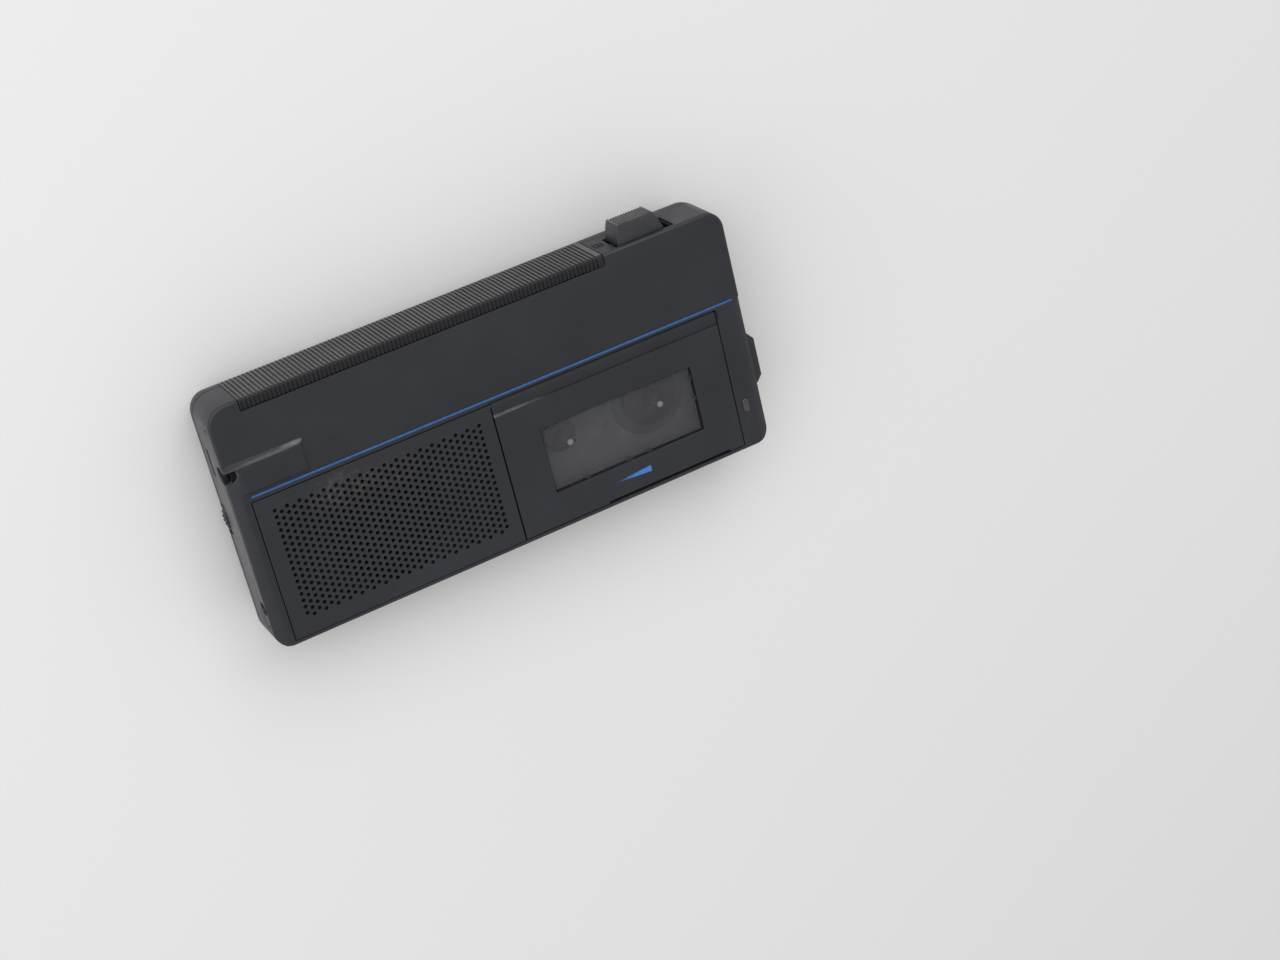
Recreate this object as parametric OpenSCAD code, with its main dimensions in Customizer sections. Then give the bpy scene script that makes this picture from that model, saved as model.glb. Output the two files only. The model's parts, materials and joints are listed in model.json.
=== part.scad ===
// Pocket dictation machine for mini cassettes, lying on its back.
// X runs along the case, +Y is the ribbed side, +Z points out of the front.
// The origin is the middle of the flat back.

/* [Case] */
// Length of the case, end to end
body_l = 133; // [132:1:145]
// Height of the case, lower side to ribbed side
body_h = 62; // [61:1:68]
// Thickness of the case, back to front
body_t = 22; // [22:0.5:25]
// Wall of both case halves
wall = 1.6; // [1.3:0.1:1.9]
// Radius of the rounded rear edges
rear_r = 10; // [9.8:0.1:10.4]
// Radius of the front edges
front_r = 0.8; // [0.4:0.1:1.2]
// Corner radius beside the ribbed side, seen from the front
corner_top_r = 4.8; // [3:0.2:7]
// Corner radius beside the lower side, seen from the front
corner_low_r = 3.8; // [2:0.2:6]
// Height of the seam between the case halves
seam_z = 10.5; // [10.5:0.1:11]
// Width of the bevel on the left front edge
left_bevel_w = 2.5; // [1.5:0.1:3]
// Depth of the bevel on the left front edge
left_bevel_d = 1.8; // [1:0.1:2.2]
// Width of the bevel on the right front edge
right_bevel_w = 2.7; // [1.5:0.1:3]
// Depth of the bevel on the right front edge
right_bevel_d = 1; // [0.5:0.1:1.4]

/* [Fits] */
// Visible gap around panels and covers
panel_gap = 0.2; // [0.1:0.05:0.3]
// Radial clearance of shafts in bores
run_fit = 0.05; // [0.02:0.01:0.08]
// Clearance between moving faces
move_gap = 0.3; // [0.25:0.05:0.4]

/* [Front trim] */
// Distance of the accent line below the ribbed side
line_drop = 23.1; // [21:0.1:24]
// Width of the accent line
line_w = 0.7; // [0.4:0.1:1]
// Depth of the accent line's groove
line_d = 0.4; // [0.2:0.1:0.6]
// Thickness of the perforated panel
grille_t = 1.2; // [0.8:0.1:1.4]
// Seat left under the perforated panel
grille_seat = 1.2; // [0.8:0.1:1.6]
// Radius of a sound hole
hole_r = 0.5; // [0.35:0.05:0.6]
// Pitch of the sound holes along a column
hole_pitch_y = 1.69; // [1.5:0.01:1.75]
// Pitch of the columns of sound holes
hole_pitch_x = 1.53; // [1.4:0.01:1.56]
// Columns of sound holes
hole_cols = 35; // [20:1:35]
// Sound holes in a column
hole_rows = 17; // [10:1:17]

/* [Cassette door] */
// Width of the door
door_w = 60.8; // [60:0.2:62]
// Thickness of the door
door_t = 2.2; // [1.8:0.1:2.4]
// Radius of the rounded hinge edge
barrel_r = 1.2; // [1.1:0.05:1.4]
// Radius of the hinge pin
hinge_pin_r = 0.5; // [0.4:0.05:0.6]
// Width of the window
window_w = 41; // [30:1:46]
// Height of the window
window_h = 17.1; // [12:0.1:20]
// Thickness of the window pane
pane_t = 1; // [0.6:0.1:1.2]
// Border of the pane that is glued to the door
pane_lap = 1.6; // [1:0.1:2]

/* [Tape deck] */
// Height of the deck floor
deck_z = 9.8; // [9.7:0.1:10.2]
// Thickness of the deck floor
deck_t = 1; // [0.8:0.1:1.2]
// Distance between the two spindles
spindle_pitch = 24.9; // [22:0.1:27]
// Radius of a spindle shaft
spindle_r = 1.5; // [1.2:0.1:1.8]
// Radius of the supply turntable
supply_table_r = 4.2; // [3:0.1:6]
// Radius of the take-up turntable
takeup_table_r = 7; // [5:0.1:8]
// Tooth size (module) of the gears
gear_mod = 0.5; // [0.45:0.01:0.52]
// Teeth of the take-up gear
takeup_teeth = 34; // [30:1:36]
// Teeth of the drive pinion
pinion_teeth = 14; // [12:1:16]
// Belt radius of the drive pulley
drive_r = 8; // [6:0.1:8.3]
// Belt radius of the motor pulley
motor_pulley_r = 1.8; // [1.4:0.1:2.2]
// Radius of the motor can
motor_r = 6.8; // [5.5:0.1:7]
// Length of the motor can
motor_len = 7.8; // [6:0.1:8]

/* [Controls] */
// Length of the thumb slide at its foot
knob_l = 12.2; // [11.8:0.1:13]
// Width of the thumb slide
knob_w = 7.2; // [6:0.1:7.6]
// Height of the thumb slide above the case
knob_h = 4.6; // [3:0.1:5.5]
// Travel of the thumb slide towards the right end
knob_travel = 2.4; // [2:0.1:3.6]
// Travel of the thumb slide towards the left end
knob_back = 0.6; // [0.3:0.1:0.8]
// Length of the end button
button_l = 13.4; // [11:0.1:14]
// Width of the end button
button_w = 6.6; // [5:0.1:7]
// Height of the end button above the case
button_h = 3.1; // [2.6:0.1:4]
// Travel of the end button
button_travel = 1.6; // [1:0.1:1.7]
// Radius of the volume wheel
wheel_r = 8; // [7.6:0.1:8.6]
// How far the volume wheel stands out of the case
wheel_out = 0.6; // [0.4:0.1:1.5]
// Thickness of the volume wheel
wheel_t = 2.5; // [2:0.1:2.7]

/* [Sound and power] */
// Radius of the loudspeaker
speaker_r = 16; // [14:0.1:16.4]
// Depth of the loudspeaker
speaker_d = 9.2; // [8:0.1:9.6]
// Radius of a battery cell
cell_r = 7.1; // [6.6:0.05:7.15]
// Length of a battery cell with its button
cell_l = 50.4; // [49:0.1:50.5]
// Length of the ribbed battery cover
cover_l = 92.5; // [85:0.5:94]
// Pitch of the ribs on the cover
rib_pitch = 1.024; // [0.9:0.002:1.3]
// Depth of the grooves between the ribs
rib_d = 0.35; // [0.2:0.05:0.5]
// Bore radius of the earphone socket
jack_bore_r = 1.8; // [1.3:0.05:1.9]
// Bore radius of the charging socket
charge_bore_r = 1.3; // [1:0.05:1.5]

/* [Hidden] */
$fn = 64;
eps = 0.01;
over = 1;
far = 5;

// Edges of the case
left_x = -body_l / 2;
right_x = body_l / 2;
top_y = body_h / 2;
low_y = -body_h / 2;
in_left_x = left_x + wall;
in_right_x = right_x - wall;
in_low_y = low_y + wall;
in_front_z = body_t - wall;
inner_front_r = 0.2;
dimple_r = 0.5;
dimple_d = 0.7;
dimple_y = [low_y + 5.4, top_y - 5.6];
dimple_z = [seam_z - 1.3, body_t - 3.2];

// Accent line, from the left end to the right end
line_y = top_y - line_drop;
line_x0 = left_x + 4.6;
line_x1 = right_x - 2.3;

// Cassette door, its hinge edge and its window
door_x1 = right_x - 7.4;
door_x0 = door_x1 - door_w;
door_y0 = low_y + 1.3;
door_back_z = body_t - door_t;
hinge_y = line_y - 2.3;
hinge_z = body_t - barrel_r;
crease_y = hinge_y - 2.1;
crease_w = 0.35;
window_x = door_x0 + door_w / 2 + 0.35;
window_y = door_y0 + 16.85;
pane_back_z = door_back_z - pane_t;
nail_l = 34;
nail_d = 0.5;
nail_x = window_x + 9;
tab_t = 0.9;
tab_l = 5;
tab_h = 4.3;
tab_y = door_y0 + 7.8;
tab_x0 = door_x1 - 0.3 - tab_t;
tab_hole_r = 0.7;
tab_hole_z = door_back_z - tab_h + 1.6;
leaf_t = 0.4;
leaf_x = tab_x0 + tab_t + 0.7;
leaf_margin = 1;
leaf_drop = 2.4;
leaf_dimple = 0.4;
leaf_dimple_r = 0.5;
lug_l = 1.9;
lug_half = 1.6;
lug_drop = 2;
lug_cover = 0.5;
pin_x0 = door_x0 - panel_gap - 1.2;
pin_x1 = door_x1 + panel_gap + 1.2;
pin_relief = 0.1;

// Perforated panel and the loudspeaker behind it
panel_x0 = left_x + 4.3;
panel_x1 = door_x0 - 2 * panel_gap;
panel_y0 = low_y + 1.3;
panel_y1 = line_y - 1.4;
panel_z = body_t - grille_t;
seat_z = panel_z - grille_seat;
hole_x0 = (panel_x0 + panel_x1) / 2 - (hole_cols - 1) * hole_pitch_x / 2 + 0.35;
hole_y0 = (panel_y0 + panel_y1) / 2 - (hole_rows - 1) * hole_pitch_y / 2 + 0.4;
speaker_shift = 0.85;
speaker_x = (panel_x0 + panel_x1) / 2 - speaker_shift;
speaker_y = (panel_y0 + panel_y1) / 2;
speaker_rim = 1.6;
speaker_flange_t = 0.8;
magnet_r = 7.5;
magnet_t = 3.4;
speaker_back_z = seat_z - speaker_d;
web_w = 2;
seat_lap = 1;
web_z = seat_z - 1;

// Battery: two cells in line, in the round of the rear edge
plate_t = 0.4;
cell_y = top_y - rear_r;
cell_z = rear_r;
cell_button_h = 1.2;
cell_button_r = 2.7;
cells_x0 = left_x + 6.1;
cells_x1 = cells_x0 + 2 * cell_l;
tray_r = rear_r - wall - 0.15;
tray_t = 0.7;
tray_x1 = cells_x1 + plate_t;
tray_foot_t = 0.8;
tray_end_t = 0.8;
tray_foot_in = 6;
tray_foot_lap = 0.3;
spring_r0 = 3.6;
spring_r1 = 2;
spring_wire_r = 0.35;
spring_turns = 4;
spring_lap = 0.1;
spring_plate_half = 4.2;
spring_plate_h = 4.5;
contact_half = 4;
cover_x0 = left_x + 8.4;
cover_x1 = cover_x0 + cover_l;
cover_t = wall - 0.1;
cover_low_y = cell_y - 7;
cover_lip_y = top_y - 2.7;
rib_edge = 0.4;
rib_count = floor((cover_l - rib_edge) / rib_pitch);

// Thumb slide on the ribbed side
knob_inset = 26.9;
knob_x0 = right_x - knob_inset;
knob_z = body_t - 5.2;
recess_d = 0.7;
knob_draft = 0.6;
knob_grooves = 12;
knob_groove_r = 0.25;
knob_groove_pitch = 0.72;
stem_l = 7;
stem_w = 2.4;
stem_x0 = knob_x0 + 4.6;
stem_y0 = top_y - wall - 0.5;
carrier_z = deck_z + 1.9;
carrier_t = 1;
carrier_x0 = stem_x0 + 1.4;
carrier_w = 9.2;
carrier_foot_t = 1.8;
carrier_y0 = line_y - 2.3;

// Head plate, moved half as far as the slide by a slanted slot
head_plate_t = 1;
head_plate_z = deck_z + move_gap;
head_plate_y0 = hinge_y + 0.8;
head_plate_h = 5.2;
head_ratio = 0.5;
head_pin_r = 0.8;
pin_slot_r = head_pin_r + 0.2;
slot_spare = 0.2;
slot_wall = 0.9;
head_pin_x = carrier_x0 + slot_wall + pin_slot_r + slot_spare + knob_travel;
head_pin_y = head_plate_y0 + 2.6;
guide_r = 0.9;
head_x = window_x + 0.4;
guide_dx = 10.4;
head_h = 6.5;
head_w = 7;
head_d = 4.4;
head_face = 0.6;
head_crown = 0.75;
erase_w = 3.2;
erase_dx = 6.2;
guide_y = head_pin_y - 0.8;
guide_h = 2.6;
guide_gap = 0.25;
head_plate_half = 12.5;
arm_half = 1.4;
head_pin_out = 0.6;

// Tape deck
well_x0 = door_x0 + 2.05;
well_x1 = door_x1 - 1.4;
well_wall = 1;
well_top_z = pane_back_z - 0.4;
well_y1 = hinge_y - 0.4;
well_back_t = 0.8;
well_back_x1 = head_x - 13;
well_back_z = well_top_z - 0.6;
well_right_z = door_back_z - tab_h - 0.5;
motor_nose_r = 1.2;
deck_x0 = well_x0 - 17.3;
deck_x1 = well_x1 + well_wall;
deck_y0 = in_low_y + 0.2;
deck_drop = 19.2;
deck_y1 = top_y - deck_drop;
spindle_y = low_y + 18.3;
supply_x = window_x + 0.25 - spindle_pitch / 2;
takeup_x = window_x + 0.25 + spindle_pitch / 2;
table_z = deck_z + move_gap;
table_t = 1.1;
spindle_tip_z = body_t - 5;
spindle_clip_r = 3;
spindle_clip_t = 0.8;
gear_z = 5.6;
gear_t = 2.8;
mesh_d = gear_mod * (takeup_teeth + pinion_teeth) / 2;
mesh_angle = 196.5;
drive_x = takeup_x + mesh_d * cos(mesh_angle);
drive_y = spindle_y + mesh_d * sin(mesh_angle);
pulley_z = 3.2;
flange_t = 0.4;
groove_w = 1.4;
flange_h = 0.8;
axle_r = 0.75;
axle_foot_r = 1.6;
axle_foot_z = pulley_z - 0.9;
motor_x = well_x0 - 8.9;
motor_y = low_y + 11;
belt_t = 1;
belt_w = 1.1;
belt_gap = 0.15;
motor_shaft_in = 2;
motor_hole_d = 2.2;

// End button and its switch
button_rise = 20.4;
button_y = low_y + button_rise;
button_z = body_t - 7.2;
button_slope = 1.8;
button_flange_t = 1;
button_flange = 1.2;
button_x0 = in_right_x - 0.25 - button_flange_t;
button_stem_r = 1.2;
button_straight = 1.6;
button_lip = 0.6;
button_coil_r = 2.1;
button_wire_r = 0.2;
button_turns = 3;
switch_x1 = in_right_x - 3.7;
switch_x0 = switch_x1 - 2.2;
switch_half = 3.6;
switch_spare = 0.2;

// Volume wheel on the seam at the left end
wheel_x = left_x - wheel_out + wheel_r;
wheel_y = 0.4;
wheel_z = seam_z - 1.2;
wheel_shaft_r = 1.2;
wheel_notches = 44;
notch_r = 0.42;
notch_out = 0.15;
pot_r = 2.6;
pot_shaft_out = 0.4;

// Sockets in the left end
jack_y = top_y - 16.4;
jack_z = body_t - 2.4;
jack_body_r = 2.6;
jack_hole_r = 2.2;
jack_len = 15.6;
jack_bore_len = 14;
boss_h = 1.1;
boss_bevel = 1.05;
boss_low_bevel = 0.8;
boss_l = 18.6;
boss_y0 = line_y + 0.9;
boss_y1 = jack_y + 2.45;
charge_y = low_y + 10.2;
charge_z = body_t - 3.8;
charge_body_r = 2;
charge_hole_r = charge_bore_r + 0.4;
charge_len = 9;
charge_end_t = 1.4;
socket_gap = 0.1;
socket_spare = 0.4;
contact_slot_drop = 11.7;
contact_slot_l = 6.9;
contact_slot_y = [top_y - contact_slot_drop - contact_slot_l, top_y - contact_slot_drop];
contact_slot_z = [seam_z + 2.3, seam_z + 3.7];
contact_slot_d = 1;

// Indicator, microphone and boards
lamp_x = right_x - 4.7;
lamp_y = low_y + 11.3;
lamp_l = 3.8;
lamp_w = 1.7;
lamp_foot_t = 1.2;
lamp_foot_w = 0.7;
mic_y = top_y - 11;
mic_z = body_t - 7;
mic_r = 3;
mic_len = 3.2;
mic_hole_r = 0.5;
mic_hole_pitch = 1.6;
mic_rest_half = 3;
grommet_t = 1.2;
grommet_back = 0.6;
grommet_lap = 1;
board_z = wall + 1.4;
board_t = 1.2;
board_x0 = left_x + 6.2;
board_x1 = deck_x0 - 2;
board_y0 = low_y + 7;
board_y1 = deck_y1 - 1.3;
board_post_r = 1.6;
board_post_x = [board_x0 + 14, board_x1 - 4];
board_post_y = [board_y0 + 4, board_y1 - 4];
chip_w = 5;
chip_l = 6;
chip_t = 1.6;
chip_pitch = 9;
chip_inset = 11;
chip_x = board_x0 + chip_inset;
chip_margin = 3;
chip_row_pitch = 20.5;
chip_y = [board_y0 + chip_margin, board_y0 + chip_margin + chip_row_pitch];
can_margin = 16;
can_y = board_y0 + can_margin;
can_r = 1.8;
can_h = 4;
switch_board_z = carrier_z + carrier_t + 1.3;
switch_board_y0 = deck_y1 - 0.8;
switch_board_w = 14;
switch_board_l = 15.5;
switch_board_y1 = switch_board_y0 + switch_board_w;
hold_r = 1.5;
hold_in = 2;

// Screws that hold the case halves, and the deck's screws
screw_r = 1;
screw_head_r = 1.9;
screw_head_t = 1.4;
screw_head_z = 4;
screw_len = 12;
boss_r = 2.4;
tower_r = 2.6;
screw_bite = 0.02;
screw_gap = 0.1;
screw_head_gap = 0.2;
drive_slot_l = 2.4;
drive_slot_w = 0.5;
drive_slot_d = 0.6;
screw_at = [
    [left_x + 15.5, low_y + 5],
    [left_x + 15, deck_y1 - 2.6],
    [right_x - 4.5, low_y + 5.5],
    [right_x - 4.5, deck_y1 - 1.3]
];
deck_screw_r = 0.8;
deck_post_r = 2;
deck_screw_l = 5;
deck_screw_head_t = 0.9;
deck_rest_x = [well_x0 + 4, well_x1 - 7];
deck_rest_w = 1.2;
deck_screw_at = [
    [deck_x0 + 3.5, deck_y1 - 3],
    [well_x0 + 11.7, deck_y1 - 2.6],
    [deck_x1 - 2.6, deck_y1 - 2.4]
];

// Cross profile of the case: large rear radii, small front radii
module profile(w, inset) {
    r = rear_r - inset;
    f = max(front_r - inset, inner_front_r);
    top = body_t - inset;
    translate([-w / 2, rear_r])
        square([w, top - f - rear_r]);
    translate([-w / 2 + r, inset])
        square([w - 2 * r, rear_r]);
    translate([-w / 2 + f, rear_r])
        square([w - 2 * f, top - rear_r]);
    for (side = [-1, 1]) {
        translate([side * (w / 2 - r), rear_r])
            circle(r);
        translate([side * (w / 2 - f), top - f])
            circle(f);
    }
}

// Radius and place of a corner: the first two lie beside the ribbed side
function corner_r(i) = i < 2 ? corner_top_r : corner_low_r;

module at_corner(i) {
    side_x = i == 0 || i == 3 ? 1 : -1;
    side_y = i < 2 ? 1 : -1;
    translate([side_x * (body_l / 2 - corner_r(i)), side_y * (body_h / 2 - corner_r(i)), 0])
        rotate(90 * i)
            children();
}

// Quarter of a corner: the cross profile turned about the corner's axis
module corner_quarter(r, inset) {
    rotate_extrude(angle = 90)
        intersection() {
            translate([r - inset - body_l / 2, 0])
                profile(body_l, inset);
            square([r, body_t]);
        }
}

// Case shape drawn in by inset on every side: two crossed profiles with turned corners
module case_solid(inset) {
    difference() {
        intersection() {
            rotate([90, 0, 0])
                linear_extrude(body_h + 2 * over, center = true)
                    profile(body_l - 2 * inset, inset);
            rotate([90, 0, 90])
                linear_extrude(body_l + 2 * over, center = true)
                    profile(body_h - 2 * inset, inset);
        }
        for (i = [0:3])
            at_corner(i)
                translate([0, 0, -over])
                    cube([corner_r(i) + over, corner_r(i) + over, body_t + 2 * over]);
    }
    for (i = [0:3])
        at_corner(i)
            corner_quarter(corner_r(i), inset);
}

module block(x0, x1, y0, y1, z0, z1) {
    translate([x0, y0, z0])
        cube([x1 - x0, y1 - y0, z1 - z0]);
}

module post(x, y, r, z0, z1) {
    translate([x, y, z0])
        cylinder(r = r, h = z1 - z0);
}

// Round bar along X
module bar_x(x0, x1, y, z, r) {
    translate([x0, y, z])
        rotate([0, 90, 0])
            cylinder(r = r, h = x1 - x0);
}

// Straight slot with round ends, from point a to point b
module slot_2d(a, b, r) {
    len = norm(b - a);
    angle = atan2(b[1] - a[1], b[0] - a[0]);
    translate(a) {
        circle(r);
        rotate(angle) {
            translate([0, -r])
                square([len, 2 * r]);
            translate([len, 0])
                circle(r);
        }
    }
}

// Spring wire wound as one tube along X
module coil(x0, x1, r0, r1, wire_r, turns) {
    rings = turns * 12;
    sides = 6;
    function axis_point(i) = let (f = i / rings, a = 360 * turns * f, r = r0 + (r1 - r0) * f)
        [x0 + wire_r + (x1 - x0 - 2 * wire_r) * f, r * cos(a), r * sin(a)];
    function ring_point(i, k) = let (p = axis_point(i), a = 360 * turns * i / rings, b = 360 * k / sides)
        [p[0] + wire_r * sin(b), p[1] + wire_r * cos(b) * cos(a), p[2] + wire_r * cos(b) * sin(a)];
    points = concat(
        [for (i = [0:rings], k = [0:sides - 1]) ring_point(i, k)],
        [axis_point(0), axis_point(rings)]
    );
    last = rings * sides;
    sheath = [for (i = [0:rings - 1], k = [0:sides - 1], half = [0, 1])
        let (a = i * sides + k, b = i * sides + (k + 1) % sides)
        half == 0 ? [a, b, b + sides] : [a, b + sides, a + sides]];
    caps = [for (k = [0:sides - 1], end = [0, 1])
        let (next = (k + 1) % sides)
        end == 0 ? [next, k, (rings + 1) * sides] : [last + k, last + next, (rings + 1) * sides + 1]];
    polyhedron(points, concat(sheath, caps), convexity = 8);
}

// Gear outline with tapered teeth; the first tooth points along +X
module gear_2d(teeth) {
    pitch = 360 / teeth;
    root = gear_mod * (teeth / 2 - 1.2);
    tip = gear_mod * (teeth / 2 + 0.85);
    polygon([for (i = [0:teeth - 1], c = [[root, -0.3], [tip, -0.11], [tip, 0.11], [root, 0.3]])
        let (a = pitch * (i + c[1])) [c[0] * cos(a), c[0] * sin(a)]]);
}

// Battery cover region in the cross profile, grown by g
module cover_region(g) {
    translate([cover_low_y - g, -over])
        square([top_y - cover_low_y + g + over, seam_z + 2 * over]);
    translate([cover_lip_y - g, -over])
        square([top_y - cover_lip_y + g + over, body_t + 2 * over]);
}

module cover_extrude(x0, x1) {
    translate([x0, 0, 0])
        rotate([90, 0, 90])
            linear_extrude(x1 - x0)
                children();
}

// Cuts shared by both case halves: battery cover, volume wheel and end dimples
module case_cuts() {
    cover_extrude(cover_x0 - panel_gap, cover_x1 + panel_gap)
        cover_region(panel_gap);
    post(wheel_x, wheel_y, wheel_r + move_gap, wheel_z - move_gap, wheel_z + wheel_t + move_gap);
    for (y = dimple_y, z = dimple_z)
        bar_x(left_x - over, left_x + dimple_d, y, z, dimple_r);
}

// Raised pad over the earphone socket, with a bevelled upper edge
module jack_pad() {
    foot_z = body_t - front_r;
    head_z = body_t + boss_h;
    difference() {
        translate([left_x, 0, 0])
            rotate([90, 0, 90])
                linear_extrude(boss_l + boss_bevel)
                    polygon([[boss_y0, foot_z], [boss_y0, body_t], [boss_y0 + boss_low_bevel, head_z],
                        [boss_y1 - boss_bevel, head_z], [boss_y1, body_t], [boss_y1, foot_z]]);
        translate([left_x + boss_l + boss_bevel, boss_y0 - over, body_t])
            rotate([0, -45, 0])
                cube([far, boss_y1 - boss_y0 + 2 * over, far]);
    }
}

// Bevel of the left front edge, up to the pad, and of the right front edge, up to the accent line
module edge_bevels() {
    run = 4;
    translate([0, boss_y1 - boss_bevel, 0])
        rotate([90, 0, 0])
            linear_extrude(body_h)
                polygon([[left_x - run, body_t - left_bevel_d * (1 + run / left_bevel_w)],
                    [left_x + left_bevel_w + run, body_t + left_bevel_d * run / left_bevel_w],
                    [left_x - run, body_t + 2 * run]]);
    translate([0, line_y, 0])
        rotate([90, 0, 0])
            linear_extrude(body_h)
                polygon([[right_x + run, body_t - right_bevel_d * (1 + run / right_bevel_w)],
                    [right_x - right_bevel_w - run, body_t + right_bevel_d * run / right_bevel_w],
                    [right_x + run, body_t + 2 * run]]);
}

// Front half: bosses, hinge lugs and seats inside, openings for everything outside
module front_case() {
    color("#2f3033")
    difference() {
        union() {
            difference() {
                case_solid(0);
                difference() {
                    case_solid(wall);
                    block(left_x, panel_x1, low_y, panel_y1 + seat_lap, seat_z, body_t);
                    block(panel_x1 - web_w, panel_x1, low_y, panel_y1 + seat_lap, web_z, body_t);
                }
            }
            jack_pad();
            for (p = screw_at)
                post(p[0], p[1], boss_r, seam_z, in_front_z + eps);
            for (x = [door_x0 - panel_gap - lug_l, door_x1 + panel_gap])
                block(x, x + lug_l, hinge_y - lug_half, hinge_y + lug_half,
                    hinge_z - lug_drop, body_t - lug_cover);
            block(switch_x0, switch_x1, button_y - switch_half, button_y + switch_half,
                button_z + switch_half, in_front_z + eps);
            block(in_right_x - mic_len - grommet_back, in_right_x + eps, mic_y - mic_rest_half,
                mic_y + mic_rest_half, mic_z + mic_r + grommet_t, in_front_z + eps);
            for (p = [[switch_x0 - switch_board_l + hold_in, switch_board_y0 + hold_in],
                [switch_x0 - hold_in, switch_board_y1 - hold_in]])
                post(p[0], p[1], hold_r, switch_board_z + board_t, in_front_z + eps);
        }
        block(left_x - far, right_x + far, low_y - far, top_y + far, -far, seam_z);
        case_cuts();
        edge_bevels();
        // Seat and sound opening of the perforated panel
        block(panel_x0 - panel_gap, panel_x1 + panel_gap + eps, panel_y0 - panel_gap, panel_y1 + panel_gap,
            panel_z, body_t + far);
        post(speaker_x, speaker_y, speaker_r - speaker_rim, seam_z, body_t);
        // Cassette door opening and its hinge pin
        block(door_x0 - panel_gap, door_x1 + panel_gap, door_y0 - panel_gap, hinge_y + barrel_r + panel_gap,
            web_z - over, body_t + far);
        bar_x(pin_x0, pin_x1, hinge_y, hinge_z, hinge_pin_r);
        // Accent line groove
        block(line_x0, line_x1, line_y - line_w / 2, line_y + line_w / 2, body_t - line_d, body_t + far);
        // Sockets, contact slot and socket bed in the left end
        bar_x(left_x - over, in_left_x + eps, jack_y, jack_z, jack_hole_r);
        bar_x(in_left_x, in_left_x + jack_len + socket_spare, jack_y, jack_z, jack_body_r + socket_gap);
        bar_x(left_x - over, in_left_x + eps, charge_y, charge_z, charge_hole_r);
        bar_x(in_left_x, in_left_x + charge_len + socket_spare, charge_y, charge_z, charge_body_r + socket_gap);
        block(left_x - over, left_x + contact_slot_d, contact_slot_y[0], contact_slot_y[1],
            contact_slot_z[0], contact_slot_z[1]);
        // Thumb slide track and slot in the ribbed side
        block(knob_x0 - knob_back - move_gap, knob_x0 + knob_l + knob_travel + move_gap,
            top_y - recess_d, top_y + over, knob_z - knob_w / 2 - move_gap, knob_z + knob_w / 2 + move_gap);
        block(stem_x0 - knob_back - move_gap, stem_x0 + stem_l + knob_travel + move_gap,
            top_y - 2 * wall, top_y + over, knob_z - stem_w / 2 - move_gap, knob_z + stem_w / 2 + move_gap);
        // End button, indicator and microphone openings in the right end
        block(in_right_x - over, right_x + over,
            button_y - button_l / 2 - move_gap, button_y + button_l / 2 + move_gap,
            button_z - button_w / 2 - move_gap, button_z + button_w / 2 + move_gap);
        lamp_slot(in_front_z - over, body_t + over, lamp_w / 2);
        for (i = [-1:1])
            bar_x(in_right_x - over, right_x + over, mic_y + i * mic_hole_pitch, mic_z, mic_hole_r);
        for (p = screw_at)
            post(p[0], p[1], screw_r + screw_bite, seam_z - over, screw_head_z + screw_len + over);
    }
}

module lamp_slot(z0, z1, r) {
    half = lamp_l / 2 - lamp_w / 2;
    translate([0, 0, z0])
        linear_extrude(z1 - z0)
            slot_2d([lamp_x, lamp_y - half], [lamp_x, lamp_y + half], r);
}

// Rear half: round rear edges, screw towers, deck posts and board posts
module rear_case() {
    color("#2c2d30")
    difference() {
        union() {
            difference() {
                case_solid(0);
                case_solid(wall);
            }
            intersection() {
                case_solid(0);
                union() {
                    for (p = screw_at)
                        post(p[0], p[1], tower_r, 0, seam_z);
                    for (p = deck_screw_at)
                        post(p[0], p[1], deck_post_r, 0, deck_z - deck_t);
                    block(deck_rest_x[0], deck_rest_x[1], low_y, deck_y0 + deck_rest_w, 0, deck_z - deck_t);
                    for (x = board_post_x, y = board_post_y)
                        post(x, y, board_post_r, 0, board_z);
                }
            }
        }
        block(left_x - far, right_x + far, low_y - far, top_y + far, seam_z, body_t + far);
        case_cuts();
        for (p = screw_at) {
            post(p[0], p[1], screw_head_r + screw_head_gap, -over, screw_head_z);
            post(p[0], p[1], screw_r + screw_gap, -over, seam_z + over);
        }
        for (p = deck_screw_at)
            post(p[0], p[1], deck_screw_r + screw_bite, wall + over, seam_z);
    }
}

module accent_strip() {
    color("#3a6cb0")
        block(line_x0, line_x1, line_y - line_w / 2, line_y + line_w / 2, body_t - line_d, body_t);
}

// Perforated panel with staggered columns of sound holes, relieved below over the hinge pin's end
module speaker_grille() {
    color("#333437")
    difference() {
        translate([0, 0, panel_z])
            linear_extrude(grille_t)
                difference() {
                    translate([panel_x0, panel_y0])
                        square([panel_x1 - panel_x0, panel_y1 - panel_y0]);
                    for (i = [0:hole_cols - 1], j = [0:hole_rows - 1])
                        translate([hole_x0 + i * hole_pitch_x, hole_y0 + (j + hole_shift(i)) * hole_pitch_y])
                            circle(hole_r, $fn = 24);
                }
        bar_x(pin_x0 - pin_relief, panel_x1 + over, hinge_y, hinge_z, hinge_pin_r + pin_relief);
    }
}

// Every other column of sound holes is shifted by half a pitch
function hole_shift(column) = column % 2 == 0 ? 0.25 : -0.25;

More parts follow.
